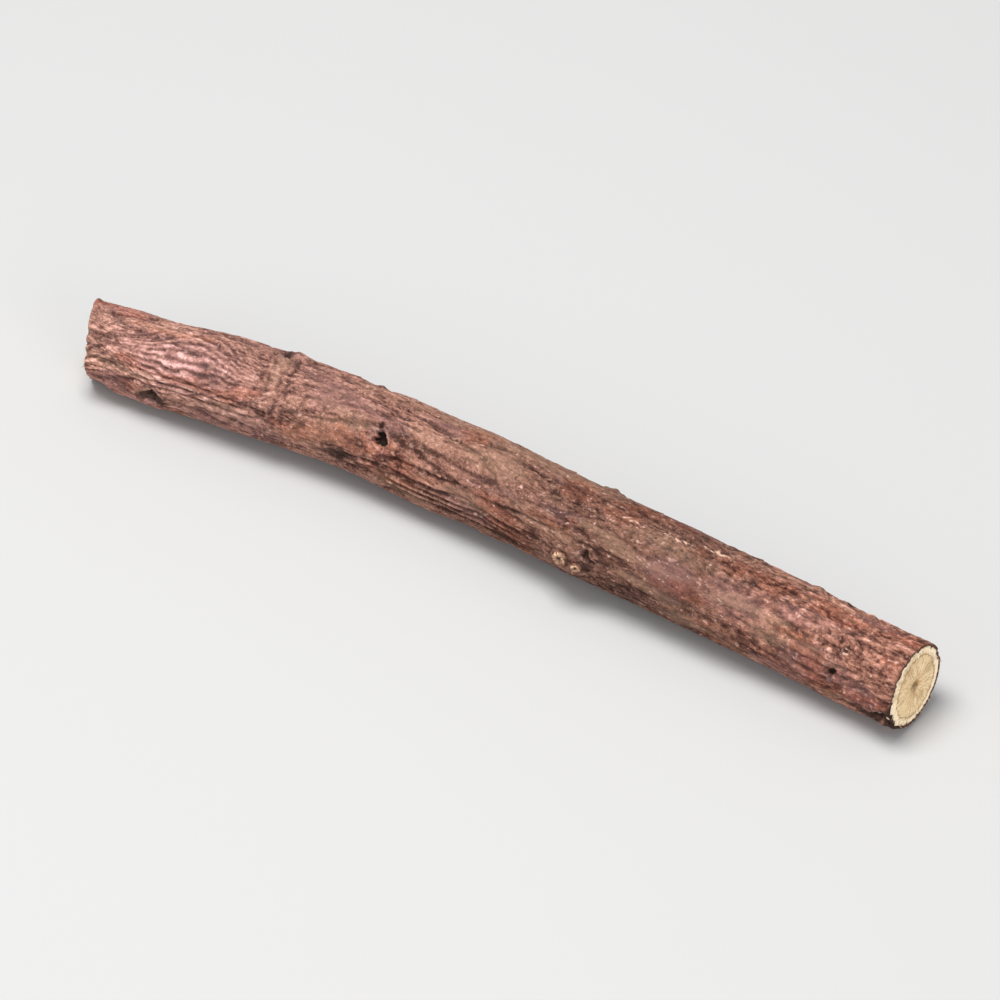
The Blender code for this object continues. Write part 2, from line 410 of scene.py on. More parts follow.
def runTree(piece, tree, values):
    modifier = piece.modifiers.new(tree.name, "NODES")
    modifier.node_group = tree
    for item in tree.interface.items_tree:
        if item.in_out == "INPUT" and item.name in values:
            modifier[item.identifier] = values[item.name]
    evaluated = piece.evaluated_get(bpy.context.evaluated_depsgraph_get())
    made = bpy.data.meshes.new_from_object(evaluated)
    piece.modifiers.remove(modifier)
    piece.data = made
    made.name = piece.name
    return piece


def finishPiece(piece):
    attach(piece, "root")
    print("made", piece.name, len(piece.data.polygons), "faces")


# Camera, light and floor

viewSet = {
    "azimuth": 33.4,
    "elevation": 40.2,
    "lens": 600.0,
    "aim": (0.0, 0.0, 4.0),
    "distance": 1.47,  # this one and the next in metres
    "clipStart": 0.01,
}


def addCamera():
    azimuth, elevation = math.radians(viewSet["azimuth"]), math.radians(viewSet["elevation"])
    away = Vector((math.sin(azimuth) * math.cos(elevation), -math.cos(azimuth) * math.cos(elevation),
                   math.sin(elevation)))
    camera = bpy.data.objects.new("camera", bpy.data.cameras.new("camera"))
    camera.data.lens = viewSet["lens"]
    camera.data.clip_start = viewSet["clipStart"]
    camera.location = Vector(viewSet["aim"]) * mm + away * viewSet["distance"]
    camera.rotation_euler = away.to_track_quat("Z", "Y").to_euler()
    bpy.context.scene.collection.objects.link(camera)
    bpy.context.scene.camera = camera


# Places and sizes in metres, powers in watts
lightSet = {
    "top": {"from": (-0.05, -0.06, 0.46), "size": 0.26, "power": 2.9},
    "front": {"from": (0.48, -0.30, 0.20), "size": 0.35, "power": 1.5},
    "fill": {"from": (-0.20, -0.46, 0.12), "size": 0.30, "power": 0.55},
}

roomSet = {
    "worldColour": "#F4F6FA",
    "worldStrength": 0.62,
    "floorColour": "#B1B0AF",
    "floorSize": 6.0,
    "floorFinish": {"Roughness": 0.9, "Specular IOR Level": 0.1},
}


def addLights():
    for name, spec in lightSet.items():
        lamp = bpy.data.lights.new(name, "AREA")
        lamp.energy = spec["power"]
        lamp.size = spec["size"]
        light = bpy.data.objects.new(name, lamp)
        light.location = spec["from"]
        light.rotation_euler = Vector(spec["from"]).to_track_quat("Z", "Y").to_euler()
        bpy.context.scene.collection.objects.link(light)
    world = bpy.data.worlds.new("studio")
    world.use_nodes = True
    background = world.node_tree.nodes["Background"]
    background.inputs["Color"].default_value = linearColour(roomSet["worldColour"])
    background.inputs["Strength"].default_value = roomSet["worldStrength"]
    bpy.context.scene.world = world
    bpy.context.scene.view_settings.view_transform = "Standard"


def addFloor():
    # Matt paper sweep: one even pale tone with hardly any shine.
    half = 0.5 * roomSet["floorSize"]
    mesh = bpy.data.meshes.new("floor")
    mesh.from_pydata([(-half, -half, 0.0), (half, -half, 0.0), (half, half, 0.0), (-half, half, 0.0)],
                     [], [(0, 1, 2, 3)])
    floor = addPiece("floor", mesh)
    paper, _, shader = newMaterial("mattPaperSweep", roomSet["floorFinish"])
    shader.inputs["Base Color"].default_value = linearColour(roomSet["floorColour"])
    mesh.materials.append(paper)


# Bark

barkMesh = {
    "around": 256,
    "rows": 370,
    "rimRound": 0.22,
    "crowding": 1.6,
    "crowdReach": 1.5,
    "crowdSteps": 4000,
    "wrinkleShare": 0.55,
    "wrinkleZones": [(10.0, 10.0), (38.0, 12.0)],
    "grainShare": 0.30,
    "smoothing": 0.8,
    "outerRing": 0.99,  # this one and the next are shares of the radius
    "reliefFrom": 0.985,
    "leastRelief": 0.25,
}

# The rows that close the bark at a cut, from the middle outwards: place along, share of the radius, inset
barkRim = [(0.0, 0.0, 0.9), (0.0, 0.5, 0.9), (0.0, 0.90, 0.9), (0.0, 0.925, 0.35), (0.0, 0.93, 0.05),
           (0.0, 0.945, 0.0), (0.0, 0.965, 0.0), (0.0, 0.985, 0.03), (0.07, 0.995, 0.0)]

# Narrow creases beside the node ring; noises are cells to a millimetre, fineness round the root, shift
ringCreases = {"offsets": [-1.15, -0.45, 0.62, 1.4], "width": 0.17, "depth": 0.12, "waver": 0.35,
               "waverNoise": (0.3, 3.0), "breakNoise": (0.8, 4.0, 3.0), "breakSlope": 2.0, "breakLevel": 0.7}

# Streaks that slant away from the slanting cut's lower rim
endStreaks = {"at": 1.7, "angle": 82.0, "reach": 2.1, "halfAngle": 34.0, "slant": 27.0, "spacing": 0.85,
              "length": 2.8, "waver": 0.7, "height": 0.07}

pitForm = {
    "edge": 0.30,
    "slope": 0.44,
    "ragged": 0.95,
    "raggedFrom": 0.5,
    "coarseNoise": (1.5, 6.0),
    "fineNoise": (4.0, 16.0),
    "fineShare": 0.5,
    "depth": 0.85,
    "lip": 0.16,
    "lipAt": 1.10,
    "lipWidth": 0.40,
    "lipReach": 2.0,
    "broadest": 1.0,
    "splits": 9.0,
    "splitBend": 6.0,
    "splitLevel": 0.55,
    "splitSlope": 0.4,
    "splitFrom": 0.8,
    "splitFade": 0.5,
    "splitReach": 2.6,
    "splitDepth": 0.22,
    # painted shade in the hollows: the depth that is darkest, and how fast it darkens
    "darkest": 0.50,
    "darkPower": 1.5,
    "endFade": 2.4,
}

# Wavy folds that part round the lens-shaped scar and meet again past its two tips
lappedFolds = {
    "count": 5.0,
    "depth": 0.20,
    "tipWidth": 0.22,
    "length": 0.80,
    "reach": 1.35,
    "waver": 0.24,
    "waverNoise": (0.50, 2.2, 9.0),
    "fineWaver": 0.07,
    "fineAlong": 1.30,
    "fineAround": 4.5,
    "fineField": 4.0,
    "sharp": 0.55,
    "knobbedLoss": 0.6,
    "creaseLoss": 0.6,
    # painted highlight on the ridges between the folds: its strength, where on a fold it starts and over how
    # much
    "ridgeHighlight": 1.3,
    "ridgeFrom": 0.6,
    "ridgeOver": 0.35,
}

# Painted highlights on the ridges between the deep folds
deepRidgeHighlights = {"beside": -4.0, "strength": 1.1}

# Painted shade in the creases: how dark each kind of crease is for its depth, the depth that counts as one,
# and the most
creaseShade = {"laps": 1.5, "folds": 2.2, "besideRing": 2.0, "full": 0.30, "most": 1.8}

# Patches of the bark with a place of their own: place along, angle, half length, half width, strength
barkPatches = {
    # The long tan bands near the top at -28 and -30 degrees are a painted sheen along the upper back edge;
    # the other tan patches are the bark's own tan
    "tan": [
        (19.4, 4.0, 0.9, 3.2, 0.7), (16.4, 88.0, 3.6, 1.3, 0.6), (43.0, -28.0, 15.0, 1.7, 0.75),
        (36.0, 22.0, 4.0, 1.3, 0.5), (62.0, 18.0, 8.0, 1.4, 0.55), (74.0, -30.0, 9.0, 1.2, 0.5),
        (51.0, 60.0, 4.0, 1.0, 0.4),
    ],
    "mauve": [
        (62.8, 50.0, 3.4, 1.5, 0.95), (11.0, 40.0, 8.0, 3.4, 0.75), (24.5, 18.0, 3.5, 1.8, 0.5),
        (42.0, 45.0, 6.0, 1.4, 0.4), (77.0, 20.0, 5.0, 1.4, 0.5), (69.5, 45.0, 4.5, 2.4, 0.65),
        (83.5, 86.0, 3.0, 1.6, 0.75), (5.0, 10.0, 4.0, 2.5, 0.4), (32.0, 64.0, 0.6, 0.5, 1.1),
    ],
    # Dark patches: partly the bark's own stains, partly painted shade along the underside and in notches and
    # folds
    "dark": [
        (27.3, 90.0, 2.0, 1.1, 0.9), (29.4, 66.0, 1.1, 1.3, 0.6), (87.0, 114.0, 1.3, 2.0, 2.0),
        (84.4, 116.0, 1.4, 0.8, 1.5), (30.9, 31.0, 0.35, 0.35, 1.1), (38.0, 108.0, 10.0, 0.9, 0.35),
        (53.0, 112.0, 3.0, 1.0, 0.6), (8.4, 105.0, 1.4, 0.7, 1.8), (46.0, 75.0, 3.0, 0.7, 0.35),
        (54.6, 84.0, 1.0, 0.8, 0.8), (18.8, -22.0, 0.8, 1.0, 0.8),
    ],
    "cream": [
        (19.3, 8.0, 0.45, 2.5, 0.56), (6.7, 99.0, 0.8, 0.5, 0.60), (57.0, 7.0, 2.0, 0.38, 0.80),
        (61.4, 3.0, 2.4, 0.42, 0.74), (65.6, -6.0, 2.2, 0.45, 0.82), (81.2, 42.0, 0.80, 0.60, 0.66),
        (79.3, 40.0, 0.45, 0.45, 0.62), (52.2, 80.0, 1.3, 0.75, 0.62), (33.0, 58.0, 1.2, 0.35, 0.60),
        (29.6, 46.0, 0.8, 0.50, 0.60), (68.2, 52.0, 0.50, 0.45, 0.65), (22.5, -4.0, 1.0, 0.50, 0.55),
        (72.0, 48.0, 1.0, 0.6, 0.5),
    ],
    "rust": [
        (6.2, 96.0, 1.8, 0.9, 0.7), (2.4, 90.0, 1.6, 1.6, 0.45), (25.0, 74.0, 4.5, 1.7, 0.5),
        (72.0, 92.0, 7.0, 1.4, 0.45), (79.0, 70.0, 3.5, 1.4, 0.45), (56.0, 20.0, 2.5, 1.2, 0.3),
    ],
    "smooth": [(62.8, 50.0, 3.4, 1.4, 0.9)],
    "knobbed": [(16.4, 84.0, 3.8, 1.8, 1.4), (20.4, 66.0, 2.0, 2.2, 1.0)],
}

# Past this place all the bark has dried into small knobs instead of threads
knobbedFrom = {"at": 58.0, "over": 12.0, "strength": 0.85}

# What the parts of the mesh's vector attributes stand for
barkMarks = {
    "toneMarks": ("tan", "mauve", "dark"),
    "wearMarks": ("cream", "rust", "streaks"),
    "pitMarks": ("hollowShade", "lip", "cutEdge"),
}


def barkRowPlaces():
    # Rows crowd together at the scars, so that their edges come out sharp.
    length, start = rootForm["length"], barkMesh["rimRound"]
    fine = np.linspace(start, length - start, barkMesh["crowdSteps"])
    near = np.max([bump(fine - scar[0], barkMesh["crowdReach"]) for scar in allScars], axis=0)
    filled = np.cumsum(1.0 + barkMesh["crowding"] * near)
    filled = (filled - filled[0]) / (filled[-1] - filled[0])
    return np.interp(np.linspace(0.0, 1.0, barkMesh["rows"]), filled, fine)


def barkRows():
    far = [(rootForm["length"] - x, ring, -inset) for x, ring, inset in reversed(barkRim)]
    return barkRim + [(x, 1.0, 0.0) for x in barkRowPlaces()] + far


def patchAmount(name, x, angle):
    amount = np.zeros_like(x)
    for place, degrees, halfLength, halfWidth, strength in barkPatches[name]:
        distance = np.hypot((x - place) / halfLength, acrossFrom(angle, degrees) / halfWidth)
        amount = np.maximum(amount, strength * bump(distance, 1.0))
    return amount


def pitRelief(x, angle):
    # The torn hollows that rootlets left: their height, how much painted shade a point gets in a hollow,
    # darker as the hollow is deeper, and how much of a lip it is.
    height, hollowShade, rim = np.zeros_like(x), np.zeros_like(x), np.zeros_like(x)
    ragged = noiseRound(x, angle, *pitForm["coarseNoise"])
    ragged = ragged + pitForm["fineShare"] * noiseRound(x, angle, *pitForm["fineNoise"])
    for place, degrees, halfWidth, depth in allScars:
        if depth < 0.0 or halfWidth > pitForm["broadest"]:
            continue
        across = acrossFrom(angle, degrees)
        distance = np.hypot(x - place, across) / halfWidth
        torn = distance + pitForm["ragged"] * ragged * ease(distance / pitForm["raggedFrom"])
        hole = 1.0 - ease((torn - pitForm["edge"]) / pitForm["slope"])
        lip = bump(torn - pitForm["lipAt"], pitForm["lipWidth"])
        bearing = np.arctan2(across, x - place)
        splits = np.cos(pitForm["splits"] * bearing + pitForm["splitBend"] * ragged)
        splits = ease((splits - pitForm["splitLevel"]) / pitForm["splitSlope"])
        splits = splits * bump(distance, pitForm["splitReach"])
        splits = splits * ease((distance - pitForm["splitFrom"]) / pitForm["splitFade"])
        fade = ease(min(place, rootForm["length"] - place) / pitForm["endFade"])
        deep = fade * (pitForm["depth"] * hole + pitForm["splitDepth"] * splits)
        height += depth * (pitForm["lip"] * lip - deep)
        dark = min(1.0, depth / pitForm["darkest"])
        hollowShade = np.maximum(hollowShade, hole * dark ** pitForm["darkPower"])
        rim = np.maximum(rim, lip * bump(distance, pitForm["lipReach"]) * dark)
    return height, hollowShade, rim


def creaseBesideRing(x, angle):
    strength, middle = ringCourse(angle)
    middle = middle + ringCreases["waver"] * noiseRound(x, angle, *ringCreases["waverNoise"])
    broken = noiseRound(x, angle, *ringCreases["breakNoise"])
    broken = ease(broken * ringCreases["breakSlope"] + ringCreases["breakLevel"])
    offsets, width = ringCreases["offsets"], ringCreases["width"]
    lines = np.max([bump(x - middle - offset, width) for offset in offsets], axis=0)
    return -ringCreases["depth"] * strength * broken * lines


def streakAmount(x, angle):
    up = -acrossFrom(angle, endStreaks["angle"])
    lean = math.radians(endStreaks["slant"])
    lengthwise = (x * math.cos(lean) + up * math.sin(lean)) / endStreaks["length"]
    crosswise = (up * math.cos(lean) - x * math.sin(lean)) / endStreaks["spacing"]
    waver = endStreaks["waver"] * noiseAt(lengthwise, crosswise, np.zeros_like(x))
    halfWidth = math.radians(endStreaks["halfAngle"]) * rootForm["radius"]
    strength = bump(x - endStreaks["at"], endStreaks["reach"]) * bump(up, halfWidth)
    return strength * np.sin(2.0 * np.pi * (crosswise + waver))


def knobbedAmount(x, angle):
    farther = knobbedFrom["strength"] * ease((x - knobbedFrom["at"]) / knobbedFrom["over"])
    return np.maximum(farther, patchAmount("knobbed", x, angle))


def lapRelief(x, angle):
    # The folds' height, where they are, and how much painted highlight a point gets as a ridge between two
    # folds.
    along, across = lensPlace(x, angle)
    around = lappedFolds["fineAround"]
    waver = noiseRound(x, angle, *lappedFolds["waverNoise"])
    fineWaver = noiseAt(x * lappedFolds["fineAlong"], around * np.cos(angle) + lappedFolds["fineField"],
                        around * np.sin(angle))
    spread = lappedFolds["tipWidth"] + (1.0 - lappedFolds["tipWidth"]) * bump(along, lappedFolds["length"])
    line = across / spread + lappedFolds["waver"] * waver + lappedFolds["fineWaver"] * fineWaver
    fold = np.abs(np.cos(np.pi * lappedFolds["count"] * line / 2.0))
    strength = bump(along, lappedFolds["reach"]) * bump(across, lappedFolds["reach"])
    strength = strength * (1.0 - lappedFolds["knobbedLoss"] * knobbedAmount(x, angle))
    height = -lappedFolds["depth"] * strength * (1.0 - ease(fold / lappedFolds["sharp"]))
    ridgeHighlight = strength * ease((fold - lappedFolds["ridgeFrom"]) / lappedFolds["ridgeOver"])
    return height, strength, ridgeHighlight


# The bark's fine relief, as the tree's inputs
barkRelief = {
    "Waver length": 2.2,
    "Waver width": 0.9,
    "Patch length": 7.0,
    "Patch width": 2.6,
    "Plate length": 2.3,
    "Plate width": 0.66,
    "Plate depth": 0.055,
    "Crack width": 0.12,
    "Ridge length": 1.3,
    "Ridge width": 0.40,
    "Ridge height": 0.15,
    "Thread length": 4.2,
    "Thread width": 0.85,
    "Thread depth": 0.075,
    "Knob length": 0.85,
    "Knob width": 0.62,
    "Knob height": 0.32,
    "Cross length": 0.9,
    "Cross width": 2.1,
    "Cross depth": 0.035,
    "Grit length": 0.24,
    "Grit width": 0.24,
    "Grit height": 0.06,
    "Wart length": 1.15,
    "Wart width": 1.15,
    "Wart height": 0.06,
}

# Detail and roughness of the relief's noises, in the order that they are made
reliefNoises = {"Waver": (2.0, 0.5), "Patch": (2.0, 0.5), "Knob": (2.0, 0.5), "Grit": (2.0, 0.6),
                "Ridge": (3.0, 0.6), "Thread": (2.0, 0.5), "Cross": (2.0, 0.55)}

reliefShares = {
    "waverShift": (1.5, 0.95, 0.95),  # millimetres
    "ridgeOnKnobs": (-0.5, 1.0),  # slope and start against how knobbed the bark is
    "wartFade": (0.10, 0.30, 1.0, 0.0),
    "wartDraw": 0.82,
}

# For the cracks round the plates, the threads and the cross cracks: how sharp a fold is, how they come and
# go with the patches, and slope and start of their amount against how knobbed the bark is
cutShares = {
    "Plate": {"fade": (0.0, 1.0, 1.0, 0.0), "patch": (0.38, 0.58, 0.15, 1.0), "knobs": (0.0, 1.0)},
    "Thread": {"fade": (0.0, 0.085, 1.0, 0.0), "patch": (0.40, 0.60, 1.0, 0.25), "knobs": (-0.75, 1.0)},
    "Cross": {"fade": (0.0, 0.09, 1.0, 0.0), "patch": (0.50, 0.66, 0.0, 1.0), "knobs": (0.6, 0.7)},
}


def buildBarkTree():
    tree, given, result = newGeometryTree("bark relief", barkRelief)
    plain = addNode(tree, "GeometryNodeInputNamedAttribute", storedVector, {"Name": "barkPlace"})
    weight = addNode(tree, "GeometryNodeInputNamedAttribute", storedNumber, {"Name": "barkWeight"})
    knobbed = addNode(tree, "GeometryNodeInputNamedAttribute", storedNumber, {"Name": "knobbed"})

    # Cells of each pattern's own length and width, along a grain that wavers for all but the first four
    place, cells, noises = plain, {}, {}
    for name in (*reliefNoises, "Plate", "Wart"):
        width = given[name + " width"]
        size = addNode(tree, "ShaderNodeCombineXYZ", None, (given[name + " length"], width, width))
        steady = name in ("Waver", "Patch", "Knob", "Grit")
        cells[name] = addNode(tree, "ShaderNodeVectorMath", divide, (plain if steady else place, size))
        if name in reliefNoises:
            detail, roughness = reliefNoises[name]
            noises[name] = addNode(tree, "ShaderNodeTexNoise", None, {
                "Vector": cells[name], "Scale": 1.0, "Detail": detail, "Roughness": roughness})
        if name == "Waver":
            shift = addNode(tree, "ShaderNodeVectorMath", subtract,
                            (noises[name].outputs["Color"], (0.5, 0.5, 0.5)))
            shift = addNode(tree, "ShaderNodeVectorMath", multiply, (shift, reliefShares["waverShift"]))
            place = addNode(tree, "ShaderNodeVectorMath", add, (plain, shift))

    # Fine ridges along the grain, small knobs where the bark has dried that way, and grit
    raised = {}
    for name in ("Ridge", "Knob", "Grit"):
        centred = addNode(tree, "ShaderNodeMath", subtract, (noises[name], 0.5))
        raised[name] = addNode(tree, "ShaderNodeMath", multiply, (centred, given[name + " height"]))
    ridgeShare = addNode(tree, "ShaderNodeMath", multiplyAdd, (knobbed, *reliefShares["ridgeOnKnobs"]))
    height = addNode(tree, "ShaderNodeMath", multiplyAdd, (raised["Ridge"], ridgeShare, raised["Grit"]))
    height = addNode(tree, "ShaderNodeMath", multiplyAdd, (raised["Knob"], knobbed, height))

    # Small warts, in a few of the cells
    warts = addNode(tree, "ShaderNodeTexVoronoi", {"feature": "F1"}, {"Vector": cells["Wart"], "Scale": 1.0})
    drawn = addNode(tree, "FunctionNodeSeparateColor", None, (warts.outputs["Color"],))
    chosen = addNode(tree, "ShaderNodeMath", {"operation": "GREATER_THAN"}, (drawn, reliefShares["wartDraw"]))
    near = warts.outputs["Distance"]
    wart = addNode(tree, "ShaderNodeMapRange", smoothFade, (near, *reliefShares["wartFade"]))
    wart = addNode(tree, "ShaderNodeMath", multiply, (wart, chosen))
    height = addNode(tree, "ShaderNodeMath", multiplyAdd, (wart, given["Wart height"], height))

    # Hair cracks round scaly plates, thread-like wrinkles, and short cracks across the grain
    plates = addNode(tree, "ShaderNodeTexVoronoi", {"feature": "DISTANCE_TO_EDGE"},
                     {"Vector": cells["Plate"], "Scale": 1.0, "Randomness": 1.0})
    fromCrack = plates.outputs["Distance"]
    folds = {"Plate": addNode(tree, "ShaderNodeMath", divide, (fromCrack, given["Crack width"]))}
    for name in ("Thread", "Cross"):
        doubled = addNode(tree, "ShaderNodeMath", multiplyAdd, (noises[name], 2.0, -1.0))
        folds[name] = addNode(tree, "ShaderNodeMath", {"operation": "ABSOLUTE"}, (doubled,))
    cut = 0.0
    for name, shares in cutShares.items():
        mask = addNode(tree, "ShaderNodeMapRange", smoothFade, (folds[name], *shares["fade"]))
        patch = addNode(tree, "ShaderNodeMapRange", smoothFade, (noises["Patch"], *shares["patch"]))
        knobs = addNode(tree, "ShaderNodeMath", multiplyAdd, (knobbed, *shares["knobs"]))
        mask = addNode(tree, "ShaderNodeMath", multiply, (mask, patch))
        mask = addNode(tree, "ShaderNodeMath", multiply, (mask, knobs))
        depth = addNode(tree, "ShaderNodeMath", multiply, (mask, given[name + " depth"]))
        height = addNode(tree, "ShaderNodeMath", subtract, (height, depth))
        cut = addNode(tree, "ShaderNodeMath", maximum, (cut, mask))

    height = addNode(tree, "ShaderNodeMath", multiply, (height, weight))
    metres = addNode(tree, "ShaderNodeMath", multiply, (height, mm))
    normal = addNode(tree, "GeometryNodeInputNormal")
    push = addNode(tree, "ShaderNodeVectorMath", scale, {0: normal, "Scale": metres})
    moved = addNode(tree, "GeometryNodeSetPosition", None, {"Geometry": given["Geometry"], "Offset": push})

    # Nothing goes below the surface that the root lies on
    split = addNode(tree, "ShaderNodeSeparateXYZ", None, (addNode(tree, "GeometryNodeInputPosition"),))
    upper = addNode(tree, "ShaderNodeMath", maximum, (split.outputs["Z"], 0.0))
    joined = addNode(tree, "ShaderNodeCombineXYZ", None, (split.outputs["X"], split.outputs["Y"], upper))
    shape = addNode(tree, "GeometryNodeSetPosition", None, {"Geometry": moved, "Position": joined})
    cut = addNode(tree, "ShaderNodeMath", multiply, (cut, weight))
    # The height and the cracks are kept for the material, which puts painted shade into the low spots and
    # cracks
    for name, value in (("barkHeight", height), ("barkCut", cut)):
        shape = addNode(tree, "GeometryNodeStoreNamedAttribute", keptNumber,
                        {"Geometry": shape, "Name": name, "Value": value})
    endTree(tree, shape, given["Material"], result)
    return tree


barkLook = {
    "finish": {"Specular IOR Level": 0.22},
    "roughAtLevel": (0.1, 0.9, 0.95, 0.74),
    "grainStrength": 0.9,
    "grainDepth": 0.00009,  # metres
    "levels": [(0.0, "#38221B"), (0.27, "#604138"), (0.52, "#876050"), (0.77, "#A97E6F"), (1.0, "#D6AEA0")],
    "toneAlong": [(0.0, 1.31), (0.20, 1.13), (0.36, 1.05), (0.60, 0.82), (0.72, 0.78), (0.86, 0.99),
                  (1.0, 1.05)],
    "tintAlong": [(0.0, "#F2F9FF"), (0.25, "#F9FAFF"), (0.5, "#FFFCF8"), (0.78, "#FFF7F1"), (1.0, "#FFF3EE")],
    "cutEdge": "#5C3D30",
    "cutEdgeFade": (0.45, 0.7, 0.0, 1.0),
    "speckOnHeight": (-0.02, 0.03, 0.35, 1.0),
}

# Patterns over the bark: length and width of a cell, detail, roughness, shift
barkPatterns = {
    "fine": (0.42, 0.24, 4.0, 0.65, 5.0),
    "dust": (0.16, 0.11, 2.0, 0.6, 61.0),
    "mottle": (1.5, 0.8, 3.0, 0.55, 17.0),
    "ragged": (0.7, 0.30, 4.0, 0.62, 29.0),
    "blotch": (0.80, 0.62, 2.0, 0.5, 71.0),
    "slow mauve": (9.0, 3.0, 2.0, 0.5, 3.0),
    "slow tan": (12.0, 2.4, 2.0, 0.5, 11.0),
    "slow rust": (7.0, 2.6, 2.0, 0.5, 23.0),
    "speck": (0.52, 0.34, 2.0, 0.5, 41.0),
    "dot": (0.42, 0.30, 1.0, 0.5, 53.0),
    "grain": (0.22, 0.10, 4.0, 0.7, 7.0),
}
shiftAcross = 0.3  # a pattern's shift round the root, as a share of its shift along it

# What makes a point of the bark paler or darker, and by how much: barkHeight puts painted shade in the
# relief's low spots and makes its high spots paler, barkCut puts painted shade in the cracks, and crease puts
# painted shade in the creases and painted highlights on the folds' ridges
levelStart = -0.77
levelShares = {"barkHeight": 2.9, "fine": 1.20, "dust": 0.70, "mottle": 0.70, "knobs": 1.0,
               "crease": -0.29, "streaks": 0.30, "barkCut": -0.13}
blotchOnKnobs = (1.2, -0.6)  # slope and start, for the blotches of knobbed bark

# Broad changes of tone, in their places and by a slow pattern: where that pattern counts, the most of the
# tone, the tint, and the share of the tone's own colour
broadTones = {
    "mauve": {"slow": (0.50, 0.66), "most": 0.85, "tint": "#E8DDE6", "own": "#94706C", "share": 0.25},
    "tan": {"slow": (0.52, 0.68), "most": 0.70, "tint": "#FFFFFF", "own": "#A8866F", "share": 0.38},
    "rust": {"slow": (0.50, 0.66), "most": 0.75, "tint": "#F4D0BF", "own": "#F4D0BF", "share": 0.0},
}
broadTone = {"ragged": 0.9, "slowMost": 0.62, "from": 0.15, "to": 0.75}

# Layers of colour from the lowest up: how ragged, from and to on the pattern, the most, the colour
colourLayers = {
    "speck": (0.14, 0.60, 0.71, 0.62, "#D6AEA0"),
    "cream": (2.6, 0.55, 0.95, 0.85, "#CDA793"),
    "dot": (0.0, 0.30, 0.25, 0.55, "#22130D"),
    "lip": (0.0, 0.3, 1.0, 0.45, "#D6AEA0"),
    # painted shade in the pits' hollows
    "hollowShade": (0.0, 0.25, 0.75, 0.97, "#120905"),
    "cutEdge": (0.0, 0.0, 1.0, 1.0, "#22130D"),
    # dark patches, partly stains and partly painted shade
    "dark": (1.1, 0.25, 0.85, 0.883, "#22130D"),
}


